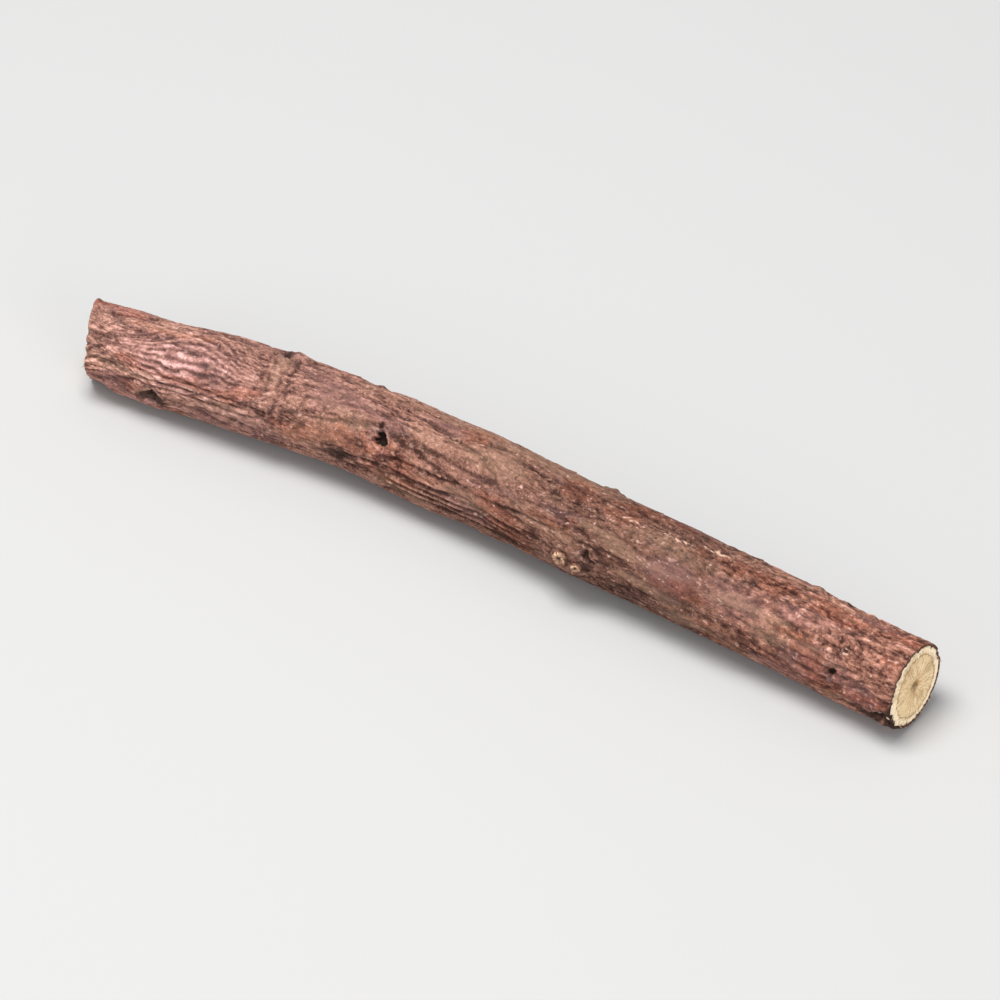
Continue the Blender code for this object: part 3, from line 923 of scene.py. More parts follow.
def buildBarkMaterial():
    # Dried root bark: thin cork that has shrunk in drying. Dead matt and paler on its high ridges, with
    # painted shade in its cracks, creases and low spots and painted highlights on the folds' ridges.
    material, tree, shader = newMaterial("driedRootBark", barkLook["finish"])
    place = addNode(tree, "ShaderNodeAttribute", {"attribute_name": "barkPlace"}).outputs["Vector"]
    source = {}
    for name in ("barkHeight", "barkCut", "crease", "knobbed"):
        source[name] = addNode(tree, "ShaderNodeAttribute", {"attribute_name": name}).outputs["Fac"]
    for name, parts in barkMarks.items():
        marks = addNode(tree, "ShaderNodeAttribute", {"attribute_name": name}).outputs["Vector"]
        source.update(zip(parts, addNode(tree, "ShaderNodeSeparateXYZ", None, (marks,)).outputs))
    for name, (along, across, detail, roughness, shift) in barkPatterns.items():
        mapping = addNode(tree, "ShaderNodeMapping", None, {
            "Vector": place, "Scale": (1.0 / along, 1.0 / across, 1.0 / across),
            "Location": (shift, shiftAcross * shift, 0.0)})
        source[name] = addNode(tree, "ShaderNodeTexNoise", None, {
            "Vector": mapping, "Scale": 1.0, "Detail": detail, "Roughness": roughness}).outputs["Fac"]
    ragged = addNode(tree, "ShaderNodeMath", subtract, (source["ragged"], 0.5))

    # From painted shade in the cracks, creases and low spots to pale high ridges, with painted highlights on
    # the folds' ridges
    blotch = addNode(tree, "ShaderNodeMath", multiplyAdd, (source["blotch"], *blotchOnKnobs))
    source["knobs"] = addNode(tree, "ShaderNodeMath", multiply, (blotch, source["knobbed"]))
    level = levelStart
    for name, share in levelShares.items():
        level = addNode(tree, "ShaderNodeMath", multiplyAdd, (source[name], share, level))
    ramp = addNode(tree, "ShaderNodeValToRGB", None, (level,))
    fillRamp(ramp, barkLook["levels"])
    colour = ramp.outputs["Color"]

    # The bark is paler and pinker near its slanting end
    lengthwise = addNode(tree, "ShaderNodeSeparateXYZ", None, (place,))
    lengthwise = addNode(tree, "ShaderNodeMath", divide, (lengthwise, rootForm["length"]))
    tones = [(position, [tone * tone] * 3 + [1.0]) for position, tone in barkLook["toneAlong"]]
    for stops, interpolation in ((tones, "EASE"), (barkLook["tintAlong"], "LINEAR")):
        ramp = addNode(tree, "ShaderNodeValToRGB", None, (lengthwise,))
        ramp.color_ramp.interpolation = interpolation
        fillRamp(ramp, stops)
        colour = addNode(tree, "ShaderNodeMix", colourTint, {0: 1.0, 6: colour, 7: ramp}).outputs[2]

    # Broad changes of tone
    for name, tone in broadTones.items():
        slow = addNode(tree, "ShaderNodeMapRange", smoothFade,
                       (source["slow " + name], *tone["slow"], 0.0, broadTone["slowMost"]))
        amount = addNode(tree, "ShaderNodeMath", multiplyAdd, (ragged, broadTone["ragged"], source[name]))
        amount = addNode(tree, "ShaderNodeMath", maximum, (amount, slow))
        here = addNode(tree, "ShaderNodeMapRange", smoothFade,
                       (amount, broadTone["from"], broadTone["to"], 0.0, tone["most"]))
        tint, own = linearColour(tone["tint"]), linearColour(tone["own"])
        toned = addNode(tree, "ShaderNodeMix", colourTint, {0: 1.0, 6: colour, 7: tint}).outputs[2]
        toned = addNode(tree, "ShaderNodeMix", colourMix, {0: tone["share"], 6: toned, 7: own}).outputs[2]
        colour = addNode(tree, "ShaderNodeMix", colourMix, {0: here, 6: colour, 7: toned}).outputs[2]

    # Pale specks on the high points, cream spots, dark dots, painted shade in the hollows with their pale
    # torn lips, the cut edge, and dark patches that are partly stains and partly painted shade
    edgeFade = addNode(tree, "ShaderNodeMapRange", smoothFade, (source["fine"], *barkLook["cutEdgeFade"]))
    for name, (torn, low, high, most, hexCode) in colourLayers.items():
        amount = addNode(tree, "ShaderNodeMath", multiplyAdd, (ragged, torn, source[name]))
        fade = plainFade if name == "cutEdge" else smoothFade
        here = addNode(tree, "ShaderNodeMapRange", fade, (amount, low, high, 0.0, most))
        paint = linearColour(hexCode)
        if name == "speck":
            worn = addNode(tree, "ShaderNodeMapRange", smoothFade,
                           (source["barkHeight"], *barkLook["speckOnHeight"]))
            here = addNode(tree, "ShaderNodeMath", multiply, (here, worn))
        if name == "cutEdge":
            paint = addNode(tree, "ShaderNodeMix", colourMix,
                            {0: edgeFade, 6: linearColour(barkLook["cutEdge"]), 7: paint}).outputs[2]
        colour = addNode(tree, "ShaderNodeMix", colourMix, {0: here, 6: colour, 7: paint}).outputs[2]
    tree.links.new(colour, shader.inputs["Base Color"])

    rough = addNode(tree, "ShaderNodeMapRange", smoothFade, (level, *barkLook["roughAtLevel"]))
    tree.links.new(rough.outputs[0], shader.inputs["Roughness"])
    bumps = addNode(tree, "ShaderNodeBump", None, {
        "Height": source["grain"], "Strength": barkLook["grainStrength"], "Distance": barkLook["grainDepth"]})
    tree.links.new(bumps.outputs[0], shader.inputs["Normal"])
    return material


def barkPoints(x, angle, ring, inset):
    # The root's points with the finer form that the solid leaves out, and what tree and material read.
    plainest, grain, soft = rootPoints(x, angle, ring, inset)
    along = x + slant(x, plainRadius(x, angle) * ring, angle)
    zone = np.max([bump(along - at, reach) for at, reach in barkMesh["wrinkleZones"]], axis=0)
    share = barkMesh["wrinkleShare"] + (1.0 - barkMesh["wrinkleShare"]) * zone
    creases = wrinkles(along, grain)
    laps, lapHere, lapHighlight = lapRelief(along, angle)
    pits, hollowShade, lip = pitRelief(along, angle)
    smooth = 1.0 - barkMesh["smoothing"] * patchAmount("smooth", along, angle)
    besideRing = creaseBesideRing(along, angle)
    streaks = streakAmount(along, angle)
    kept = share * smooth * (1.0 - lappedFolds["creaseLoss"] * lapHere)
    extra = creases * (kept - 1.0) + laps + pits + besideRing + endStreaks["height"] * streaks
    outer = (ring > barkMesh["outerRing"]).astype(float)
    extra = extra * soft * ring * outer
    points = plainest + np.stack([np.zeros_like(x), -extra * np.sin(angle), extra * np.cos(angle)], axis=1)
    points[:, 2] = np.maximum(points[:, 2], 0.0)

    # Painted shade in the creases, darker as they are deeper, less painted highlights on the ridges of the
    # lapped and the deep folds
    depth = -(creases * share + creaseShade["laps"] * laps + creaseShade["folds"] * foldRelief(along, angle)
              + creaseShade["besideRing"] * besideRing)
    crease = np.clip(depth / creaseShade["full"], 0.0, creaseShade["most"]) * smooth
    crease = crease - lappedFolds["ridgeHighlight"] * lapHighlight
    crease = crease - deepRidgeHighlights["strength"] * foldLines(along, angle, deepRidgeHighlights["beside"])
    facts = {name: patchAmount(name, along, angle) for name in ("tan", "mauve", "dark", "cream", "rust")}
    facts.update({"streaks": streaks, "hollowShade": hollowShade, "lip": lip, "cutEdge": 1.0 - outer, "crease": crease})
    facts["knobbed"] = knobbedAmount(along, angle)
    facts["placeGrain"] = grainAngle(along, angle, barkMesh["grainShare"])
    least = barkMesh["leastRelief"]
    weight = ease((ring - barkMesh["reliefFrom"]) / (1.0 - barkMesh["reliefFrom"]))
    facts["barkWeight"] = weight * (least + (1.0 - least) * soft) * (least + (1.0 - least) * smooth)
    return points, facts


def makeBark():
    rowList = barkRows()
    x, angle, ring, inset = loftRows(rowList, barkMesh["around"])
    points, facts = barkPoints(x, angle, ring, inset)
    mesh = loftedMesh("licorice_root_bark", len(rowList) - 2, barkMesh["around"], points)
    radius, grain = rootForm["radius"], facts["placeGrain"]
    place = np.stack([points[:, 0], radius * np.cos(grain), radius * np.sin(grain)], axis=1)
    addAttribute(mesh, "barkPlace", place)
    addAttribute(mesh, "outward", np.stack([np.zeros_like(x), -np.sin(angle), np.cos(angle)], axis=1))
    for name in ("barkWeight", "crease", "knobbed"):
        addAttribute(mesh, name, facts[name])
    for name, parts in barkMarks.items():
        addAttribute(mesh, name, np.stack([facts[part] for part in parts], axis=1))
    low, high = points.min(axis=0), points.max(axis=0)
    middle = np.array([0.5 * (low[0] + high[0]), 0.5 * (low[1] + high[1]), 0.0])
    mesh.vertices.foreach_set("co", ((points - middle) * mm).astype(np.float32).ravel())
    mesh.update()
    bark = addPiece("licorice_root_bark", mesh)
    runTree(bark, buildBarkTree(), {"Material": buildBarkMaterial()})
    return bark, middle


# Broken rootlets

stubForm = {
    "around": 28,
    "size": 1.02,
    "up": 7.0,  # degrees nearer the root's top than the scar's middle
    "footStep": 0.55,
    # width and height of each ring, for a stub one unit wide
    "profile": [(1.12, -0.60), (1.05, -0.22), (0.98, 0.04), (0.90, 0.18), (0.80, 0.26), (0.66, 0.30),
                (0.52, 0.29), (0.38, 0.25), (0.24, 0.10), (0.12, -0.02)],
    "middleDepth": -0.04,
    "flattened": 0.72,
    # amount, fineness round the stub, step from ring to ring, step from stub to stub
    "raggedSide": (0.42, 1.6, 0.5, 7.0),
    "raggedTop": (0.42, 3.4, 0.9, 5.0),
    "lean": 0.45,
    "least": 0.42,
    "fullHeight": 0.65,
    "shrink": 0.8,
    "placeRadius": 2.0,
    "placeStep": 3.0,
}

# Tone runs from the side over torn fibres and the rim to the inside
stubLook = {
    "finish": {"Roughness": 0.9, "Specular IOR Level": 0.3},
    "grain": {"Scale": 4.0, "Detail": 4.0, "Roughness": 0.65},
    "jitter": (0.9, -0.45),
    "levels": [(0.0, "#6A473A"), (0.26, "#6A473A"), (0.40, "#96705A"), (0.50, "#D2AE90"), (0.68, "#D2AE90"),
               (0.82, "#33201A"), (1.0, "#33201A")],
    # painted shade on the stubs' lower side: its colour, and where round each stub it comes in
    "lowerShade": "#7E5B4A",
    "lowerShadeFade": (-1.3, 1.1, 0.0, 0.75),
    "grainStrength": 0.6,
    "grainDepth": 0.0001,  # metres
}


def buildStubMaterial():
    # Broken rootlet: pale torn fibres round a dark dried core, with painted shade on its lower side.
    material, tree, shader = newMaterial("brokenRootlet", stubLook["finish"])
    place = addNode(tree, "ShaderNodeAttribute", {"attribute_name": "stubPlace"}).outputs["Vector"]
    step = addNode(tree, "ShaderNodeSeparateXYZ", None, (place,))
    grain = addNode(tree, "ShaderNodeTexNoise", None, {"Vector": place, **stubLook["grain"]}).outputs["Fac"]
    jitter = addNode(tree, "ShaderNodeMath", multiplyAdd, (grain, *stubLook["jitter"]))
    level = addNode(tree, "ShaderNodeMath", add, (step, jitter))
    ramp = addNode(tree, "ShaderNodeValToRGB", None, (level,))
    fillRamp(ramp, stubLook["levels"])
    low = addNode(tree, "ShaderNodeMapRange", smoothFade, (step.outputs["Z"], *stubLook["lowerShadeFade"]))
    colour = addNode(tree, "ShaderNodeMix", colourMix, {0: low, 6: ramp, 7: linearColour(stubLook["lowerShade"])})
    tree.links.new(colour.outputs[2], shader.inputs["Base Color"])
    bumps = addNode(tree, "ShaderNodeBump", None, {
        "Height": grain, "Strength": stubLook["grainStrength"], "Distance": stubLook["grainDepth"]})
    tree.links.new(bumps.outputs[0], shader.inputs["Normal"])
    return material


def footFrame(place, angle):
    # The middle of a stub's foot, and the directions along, round and out of the bark there.
    step = stubForm["footStep"]
    turn = step / rootForm["radius"]
    places = place + step * np.array([0.0, -1.0, 1.0, 0.0, 0.0])
    angles = angle + turn * np.array([0.0, 0.0, 0.0, -1.0, 1.0])
    spots, _ = barkPoints(places, angles, np.ones(5), np.zeros(5))
    along, roundward = spots[2] - spots[1], spots[4] - spots[3]
    along, roundward = along / np.linalg.norm(along), roundward / np.linalg.norm(roundward)
    outward = np.cross(roundward, along)
    return spots[0], along, roundward, outward / np.linalg.norm(outward)


def stubRing(number, i, size):
    # One ring of a stub: along, across and up from its foot's middle, and its place for the material.
    wide, high = stubForm["profile"][i]
    side, sideNoise, sideStep, sideField = stubForm["raggedSide"]
    top, topNoise, topStep, topField = stubForm["raggedTop"]
    inside, radius = 0 < i < len(stubForm["profile"]) - 1, stubForm["placeRadius"]
    spots, steps = [], []
    for t in np.linspace(0.0, 2.0 * np.pi, stubForm["around"], endpoint=False):
        x, y = math.cos(t), math.sin(t)
        rough = noise.noise((sideNoise * x + sideField * number, sideNoise * y, sideStep * i))
        torn = noise.noise((topNoise * x, topNoise * y, topField * number + topStep * i))
        reach = size * wide * (1.0 + side * rough)
        lift = size * high + (size * top * torn if inside else 0.0)
        spots.append((reach * x + stubForm["lean"] * lift, reach * y * stubForm["flattened"], lift))
        steps.append((i / len(stubForm["profile"]), radius * x + stubForm["placeStep"] * number, radius * y))
    return spots, steps


def makeStubs(middle):
    stubs = [scar for scar in allScars if scar[3] < -stubForm["least"]]
    around, rings = stubForm["around"], len(stubForm["profile"])
    vertices, faces, steps = [], [], []
    for number, (place, degrees, halfWidth, depth) in enumerate(stubs):
        foot, *directions = footFrame(place, math.radians(degrees - stubForm["up"]))
        size = stubForm["size"] * halfWidth * (abs(depth) / stubForm["fullHeight"]) ** stubForm["shrink"]
        first = len(vertices)
        for i in range(rings):
            spots, ringSteps = stubRing(number, i, size)
            vertices += [foot + np.array(spot) @ directions for spot in spots]
            steps += ringSteps
        faces += facesBetween(first, rings, around)
        base, tip = len(vertices), len(vertices) + 1
        vertices += [foot + directions[2] * size * high
                     for high in (stubForm["profile"][0][1], stubForm["middleDepth"])]
        steps += [(end, stubForm["placeStep"] * number, 0.0) for end in (0.0, 1.0)]
        last = first + (rings - 1) * around
        faces += [(base, first + (j + 1) % around, first + j) for j in range(around)]
        faces += [(tip, last + j, last + (j + 1) % around) for j in range(around)]
    mesh = bpy.data.meshes.new("rootlet_stubs")
    mesh.from_pydata(((np.array(vertices) - middle) * mm).tolist(), [], faces)
    addAttribute(mesh, "stubPlace", np.array(steps))
    mesh.shade_smooth()
    mesh.materials.append(buildStubMaterial())
    return addPiece("rootlet_stubs", mesh)


# Loose scales of cork, scattered over the bark by a tree

# The tree's inputs, lengths in metres and turns in degrees
scaleForm = {
    "Scales in a square metre": 95000.0,
    "Seed": 7,
    "Shortest": 0.00035,
    "Longest": 0.00095,
    "Narrowest": 0.00014,
    "Widest": 0.00028,
    "Thickness": 0.00005,
    "Least lift": 1.0,
    "Most lift": 6.0,
    "Sideways": 14.0,
    "Reach from the middle": 0.0415,
    "Least bark weight": 0.85,
}

# Shape of one scale, one unit long, wide and thick
scaleShape = {"stations": 6, "across": 4, "narrow": (0.10, 0.78), "ragged": 0.05, "raggedAt": (2.7, 4.1),
              "raggedSide": 0.4, "arch": 0.9}

scaleLook = {
    "finish": {"Roughness": 0.85, "Specular IOR Level": 0.35},
    "tone": {"Scale": 3.2, "Detail": 4.0},
    "jitter": (2.0, -1.0),
    "lengthwise": 0.55,
    "levels": [(0.0, "#5A3C32"), (0.2, "#6F4D41"), (0.5, "#8F6759"), (0.95, "#B48D7D")],
}


def scalePattern():
    # One scale, one unit long and wide: thin, arched across, ragged at its free end.
    stations, across = scaleShape["stations"], scaleShape["across"]
    narrowStart, narrowOver = scaleShape["narrow"]
    alongStep, acrossStep = scaleShape["raggedAt"]
    top, bottom, places = [], [], []
    for i in range(stations):
        x = i / (stations - 1)
        wide = 0.5 * math.sqrt(math.sin(math.pi * (narrowStart + narrowOver * x)))
        for j in range(across):
            y = 2.0 * j / (across - 1) - 1.0
            ragged = scaleShape["ragged"] * math.sin(alongStep * i + acrossStep * j)
            arch = -scaleShape["arch"] * y * y
            end = x + (ragged if i == stations - 1 else 0.0)
            side = wide * y * (1.0 + scaleShape["raggedSide"] * ragged)
            top.append((end, side, arch + 0.5))
            bottom.append((end, side, arch - 0.5))
            places.append((x, y, 0.0))
    faces = []
    for i in range(stations - 1):
        for j in range(across - 1):
            a, b = i * across + j, (i + 1) * across + j
            faces.append((a, b, b + 1, a + 1))
            faces.append(tuple(len(top) + k for k in (a, a + 1, b + 1, b)))
    edge = [i * across for i in range(stations)] + [(stations - 1) * across + j for j in range(1, across)]
    edge += [i * across + across - 1 for i in range(stations - 2, -1, -1)] + list(range(across - 2, 0, -1))
    faces += [(a, len(top) + a, len(top) + b, b) for a, b in zip(edge, edge[1:] + edge[:1])]
    mesh = bpy.data.meshes.new("scale pattern")
    mesh.from_pydata(top + bottom, [], faces)
    addAttribute(mesh, "scalePlace", np.array(places + places))
    mesh.shade_smooth()
    return addPiece("scale pattern", mesh)


def buildScaleTree():
    tree, given, result = newGeometryTree("bark scales", scaleForm, ("Bark", "Scale"))
    bark = addNode(tree, "GeometryNodeObjectInfo", None, (given["Bark"],))
    pattern = addNode(tree, "GeometryNodeObjectInfo", None, (given["Scale"],))

    # Scales lie on the rounded side only, clear of the rims
    weight = addNode(tree, "GeometryNodeInputNamedAttribute", storedNumber, {"Name": "barkWeight"})
    where = addNode(tree, "ShaderNodeSeparateXYZ", None, (addNode(tree, "GeometryNodeInputPosition"),))
    fromMiddle = addNode(tree, "ShaderNodeMath", {"operation": "ABSOLUTE"}, (where,))
    clear = addNode(tree, "ShaderNodeMath", {"operation": "LESS_THAN"},
                    (fromMiddle, given["Reach from the middle"]))
    outer = addNode(tree, "ShaderNodeMath", {"operation": "GREATER_THAN"},
                    (weight, given["Least bark weight"]))
    chosen = addNode(tree, "ShaderNodeMath", multiply, (clear, outer))
    scattered = addNode(tree, "GeometryNodeDistributePointsOnFaces", {"distribute_method": "RANDOM"}, {
        "Mesh": bark.outputs["Geometry"], "Selection": chosen, "Seed": given["Seed"],
        "Density": given["Scales in a square metre"]})

    # Each scale lies along the root, a little lifted and turned
    outward = addNode(tree, "GeometryNodeInputNamedAttribute", storedVector, {"Name": "outward"})
    standing = addNode(tree, "FunctionNodeAlignRotationToVector", {"axis": "Z"}, {"Vector": outward})
    along = addNode(tree, "FunctionNodeAlignRotationToVector", {"axis": "X", "pivot_axis": "Z"},
                    {"Rotation": standing, "Vector": (1.0, 0.0, 0.0)})
    draws = []
    for step, (low, high) in enumerate(((given["Least lift"], given["Most lift"]), (-1.0, 1.0),
                                        (given["Shortest"], given["Longest"]),
                                        (given["Narrowest"], given["Widest"])), 1):
        seed = addNode(tree, "ShaderNodeMath", add, (given["Seed"], float(step)))
        drawn = addNode(tree, "FunctionNodeRandomValue", {"data_type": "FLOAT"},
                        {"Min": low, "Max": high, "Seed": seed})
        draws.append(drawn.outputs[1])
    lift, side, length, width = draws
    down = addNode(tree, "ShaderNodeMath", multiply, (lift, -1.0))
    side = addNode(tree, "ShaderNodeMath", multiply, (side, given["Sideways"]))
    tilt = addNode(tree, "ShaderNodeCombineXYZ", None, (0.0, down, side))
    tilt = addNode(tree, "ShaderNodeVectorMath", scale, {0: tilt, "Scale": math.radians(1.0)})
    tilt = addNode(tree, "FunctionNodeEulerToRotation", None, (tilt,))
    turned = addNode(tree, "FunctionNodeRotateRotation", {"rotation_space": "LOCAL"}, (along, tilt))
    size = addNode(tree, "ShaderNodeCombineXYZ", None, (length, width, given["Thickness"]))
    placed = addNode(tree, "GeometryNodeInstanceOnPoints", None, {
        "Points": scattered, "Instance": pattern.outputs["Geometry"], "Rotation": turned, "Scale": size})
    endTree(tree, placed, given["Material"], result)
    return tree


def buildScaleMaterial():
    # Loose scale of cork: the bark's own dry skin, paler where its free edge catches dust and light.
    material, tree, shader = newMaterial("looseCorkScale", scaleLook["finish"])
    own = addNode(tree, "ShaderNodeAttribute", {"attribute_name": "scalePlace"}).outputs["Vector"]
    bark = addNode(tree, "ShaderNodeAttribute", {"attribute_name": "barkPlace"}).outputs["Vector"]
    step = addNode(tree, "ShaderNodeSeparateXYZ", None, (own,))
    tone = addNode(tree, "ShaderNodeTexNoise", None, {"Vector": bark, **scaleLook["tone"]}).outputs["Fac"]
    jitter = addNode(tree, "ShaderNodeMath", multiplyAdd, (tone, *scaleLook["jitter"]))
    level = addNode(tree, "ShaderNodeMath", multiplyAdd, (step, scaleLook["lengthwise"], jitter))
    ramp = addNode(tree, "ShaderNodeValToRGB", None, (level,))
    fillRamp(ramp, scaleLook["levels"])
    tree.links.new(ramp.outputs["Color"], shader.inputs["Base Color"])
    return material


def makeScales(bark):
    pattern = scalePattern()
    scales = addPiece("loose_scales", bpy.data.meshes.new("loose_scales"))
    runTree(scales, buildScaleTree(), {"Bark": bark, "Scale": pattern, "Material": buildScaleMaterial()})
    bpy.data.objects.remove(pattern)
    return scales


# Cut wood

# Rows run from the middle outwards, and then over the edge to the back: share of the radius, inset
woodMesh = {"around": 300, "rings": 56, "edge": 0.925, "crowding": 0.85, "rounding": 0.10, "roundOver": 0.03,
            "frontFade": 0.02, "back": [(0.925, 0.12), (0.921, 0.5), (0.915, 0.8), (0.5, 0.8), (0.0, 0.8)]}

woodForm = {
    "crown": 0.10,
    "pithRing": 0.14,
    "pithDepth": 0.16,
    "grooveRing": 0.83,
    "grooveWidth": 0.05,
    "grooveDepth": 0.10,
    "rayAlong": 0.15,
    "rayAround": 2.6,
    "rayMiddle": 0.35,
}

# The tree's inputs
woodRelief = {
    "Ray width": 0.20,
    "Ray height": 0.09,
    "Ring spacing": 0.36,
    "Ring height": 0.035,
    "Ring waver scale": 0.9,
    "Knife slope": 0.45,
    "Knife spacing": 0.50,
    "Knife height": 0.07,
    "Fibre size": 0.13,
    "Fibre height": 0.06,
    "Outward": 1.0,
}

# Levels run out from the pith over core, wood, groove and bast to the rim, by millimetres from the middle
woodLook = {
    "finish": {"Roughness": 0.88, "Specular IOR Level": 0.3},
    "ringWaver": 0.5,
    "levelAt": (0.25, 3.95, 0.0, 1.0),
    "levels": [(0.0, "#87693E"), (0.10, "#87693E"), (0.20, "#D3B082"), (0.52, "#E3C69A"), (0.77, "#E3C69A"),
               (0.81, "#A07C54"), (0.85, "#EBD3AD"), (0.95, "#F5E1C4"), (1.0, "#F5E1C4")],
    "pore": "#8A6A43",
    "poreSpacing": 0.24,
    "poreSpread": 0.9,
    "poreFade": (0.38, 0.12, 0.0, 0.55),
    "poresWithin": (3.35, 3.15, 0.0, 1.0),
    "grainStrength": 0.5,
    "grainDepth": 0.00006,  # metres
}

# Patterns on the cut face: the place they follow, scale and detail
woodPatterns = {"waver": ("facePlace", 1.2, 3.0), "rays": ("rayPlace", 5.5, 2.0),
                "stains": ("facePlace", 0.55, 3.0), "fine": ("facePlace", 9.0, 4.0)}

# Pale rays, dark rays and broad stains on the face, in this order under the pores: pattern, fade, colour
woodLayers = [("rays", (0.52, 0.66, 0.0, 0.60), "#F3E2C0"), ("rays", (0.44, 0.34, 0.0, 0.45), "#9A7850"),
              ("stains", (0.54, 0.7, 0.0, 0.40), "#9A7850")]

# Painted shade in the low spots of the wood's relief: fade, colour
lowWoodShade = ((-0.02, -0.08, 0.0, 0.50), "#9A7850")


def faceSink(ring):
    groove = woodForm["grooveDepth"] * bump(ring - woodForm["grooveRing"], woodForm["grooveWidth"])
    pith = woodForm["pithDepth"] * ease((2.0 * woodForm["pithRing"] - ring) / woodForm["pithRing"])
    return groove + pith - woodForm["crown"] * (1.0 - ring * ring)


def buildWoodTree():
    tree, given, result = newGeometryTree("cut wood relief", woodRelief)
    ring = addNode(tree, "GeometryNodeInputNamedAttribute", storedNumber, {"Name": "ringPlace"})
    front = addNode(tree, "GeometryNodeInputNamedAttribute", storedNumber, {"Name": "frontFace"})
    rays = addNode(tree, "GeometryNodeInputNamedAttribute", storedVector, {"Name": "rayPlace"})
    flat = addNode(tree, "GeometryNodeInputNamedAttribute", storedVector, {"Name": "facePlace"})

    # Rays, lines that the knife has left, and fibres
    rayCell = addNode(tree, "ShaderNodeVectorMath", divide, (rays, given["Ray width"]))
    fibreCell = addNode(tree, "ShaderNodeVectorMath", divide, (flat, given["Fibre size"]))
    split = addNode(tree, "ShaderNodeSeparateXYZ", None, (flat,))
    knife = addNode(tree, "ShaderNodeMath", multiplyAdd,
                    (split.outputs["Z"], given["Knife slope"], split.outputs["Y"]))
    knife = addNode(tree, "ShaderNodeMath", divide, (knife, given["Knife spacing"]))
    noises = {
        "Ray": addNode(tree, "ShaderNodeTexNoise", None,
                       {"Vector": rayCell, "Scale": 1.0, "Detail": 2.0, "Roughness": 0.5}),
        "Knife": addNode(tree, "ShaderNodeTexNoise", {"noise_dimensions": "1D"},
                         {"W": knife, "Scale": 1.0, "Detail": 3.0}),
        "Fibre": addNode(tree, "ShaderNodeTexNoise", None,
                         {"Vector": fibreCell, "Scale": 1.0, "Detail": 2.0, "Roughness": 0.6}),
    }

    # Rings that waver; a wave swings half its height up and down
    waver = addNode(tree, "ShaderNodeTexNoise", None,
                    {"Vector": flat, "Scale": given["Ring waver scale"], "Detail": 2.0})
    phase = addNode(tree, "ShaderNodeMath", divide, (ring, given["Ring spacing"]))
    phase = addNode(tree, "ShaderNodeMath", add, (phase, waver))
    phase = addNode(tree, "ShaderNodeMath", multiply, (phase, 2.0 * math.pi))
    wave = addNode(tree, "ShaderNodeMath", {"operation": "SINE"}, (phase,))
    wave = addNode(tree, "ShaderNodeMath", multiply, (wave, 0.5))
    height = addNode(tree, "ShaderNodeMath", multiply, (wave, given["Ring height"]))
    for name, pattern in noises.items():
        centred = addNode(tree, "ShaderNodeMath", subtract, (pattern, 0.5))
        height = addNode(tree, "ShaderNodeMath", multiplyAdd, (centred, given[name + " height"], height))
    height = addNode(tree, "ShaderNodeMath", multiply, (height, front))
    push = addNode(tree, "ShaderNodeMath", multiply, (height, given["Outward"]))
    push = addNode(tree, "ShaderNodeMath", multiply, (push, mm))
    push = addNode(tree, "ShaderNodeCombineXYZ", None, (push,))
    moved = addNode(tree, "GeometryNodeSetPosition", None, {"Geometry": given["Geometry"], "Offset": push})
    kept = addNode(tree, "GeometryNodeStoreNamedAttribute", keptNumber,
                   {"Geometry": moved, "Name": "woodHeight", "Value": height})
    endTree(tree, kept, given["Material"], result)
    return tree


def buildWoodMaterial():
    # Freshly cut dried root wood: open fibres, dead matt, cream at the bast and browner at the pith.
    material, tree, shader = newMaterial("cutRootWood", woodLook["finish"])
    place = {}
    for name in ("rayPlace", "facePlace"):
        place[name] = addNode(tree, "ShaderNodeAttribute", {"attribute_name": name}).outputs["Vector"]
    ring = addNode(tree, "ShaderNodeAttribute", {"attribute_name": "ringPlace"}).outputs["Fac"]
    height = addNode(tree, "ShaderNodeAttribute", {"attribute_name": "woodHeight"}).outputs["Fac"]
    patterns = {}
    for name, (follows, fineness, detail) in woodPatterns.items():
        patterns[name] = addNode(tree, "ShaderNodeTexNoise", None, {
            "Vector": place[follows], "Scale": fineness, "Detail": detail}).outputs["Fac"]

    # From the pith out to the rim
    level = addNode(tree, "ShaderNodeMath", multiplyAdd, (patterns["waver"], woodLook["ringWaver"], ring))
    level = addNode(tree, "ShaderNodeMapRange", None, (level, *woodLook["levelAt"]))
    ramp = addNode(tree, "ShaderNodeValToRGB", None, (level,))
    fillRamp(ramp, woodLook["levels"])
    colour = ramp.outputs["Color"]

    # Rays, stains, pores inside the groove, and painted shade in the low spots
    layers = []
    for name, fade, paint in woodLayers:
        layers.append((addNode(tree, "ShaderNodeMapRange", smoothFade, (patterns[name], *fade)), paint))
    pores = addNode(tree, "ShaderNodeTexVoronoi", {"feature": "F1"}, {
        "Vector": place["facePlace"], "Scale": 1.0 / woodLook["poreSpacing"],
        "Randomness": woodLook["poreSpread"]})
    near = pores.outputs["Distance"]
    pore = addNode(tree, "ShaderNodeMapRange", smoothFade, (near, *woodLook["poreFade"]))
    within = addNode(tree, "ShaderNodeMapRange", smoothFade, (ring, *woodLook["poresWithin"]))
    layers.append((addNode(tree, "ShaderNodeMath", multiply, (pore, within)), woodLook["pore"]))
    fade, paint = lowWoodShade
    layers.append((addNode(tree, "ShaderNodeMapRange", smoothFade, (height, *fade)), paint))
    for here, paint in layers:
        mixed = addNode(tree, "ShaderNodeMix", colourMix, {0: here, 6: colour, 7: linearColour(paint)})
        colour = mixed.outputs[2]
    tree.links.new(colour, shader.inputs["Base Color"])
    bumps = addNode(tree, "ShaderNodeBump", None, {
        "Height": patterns["fine"], "Strength": woodLook["grainStrength"],
        "Distance": woodLook["grainDepth"]})
    tree.links.new(bumps.outputs[0], shader.inputs["Normal"])
    return material


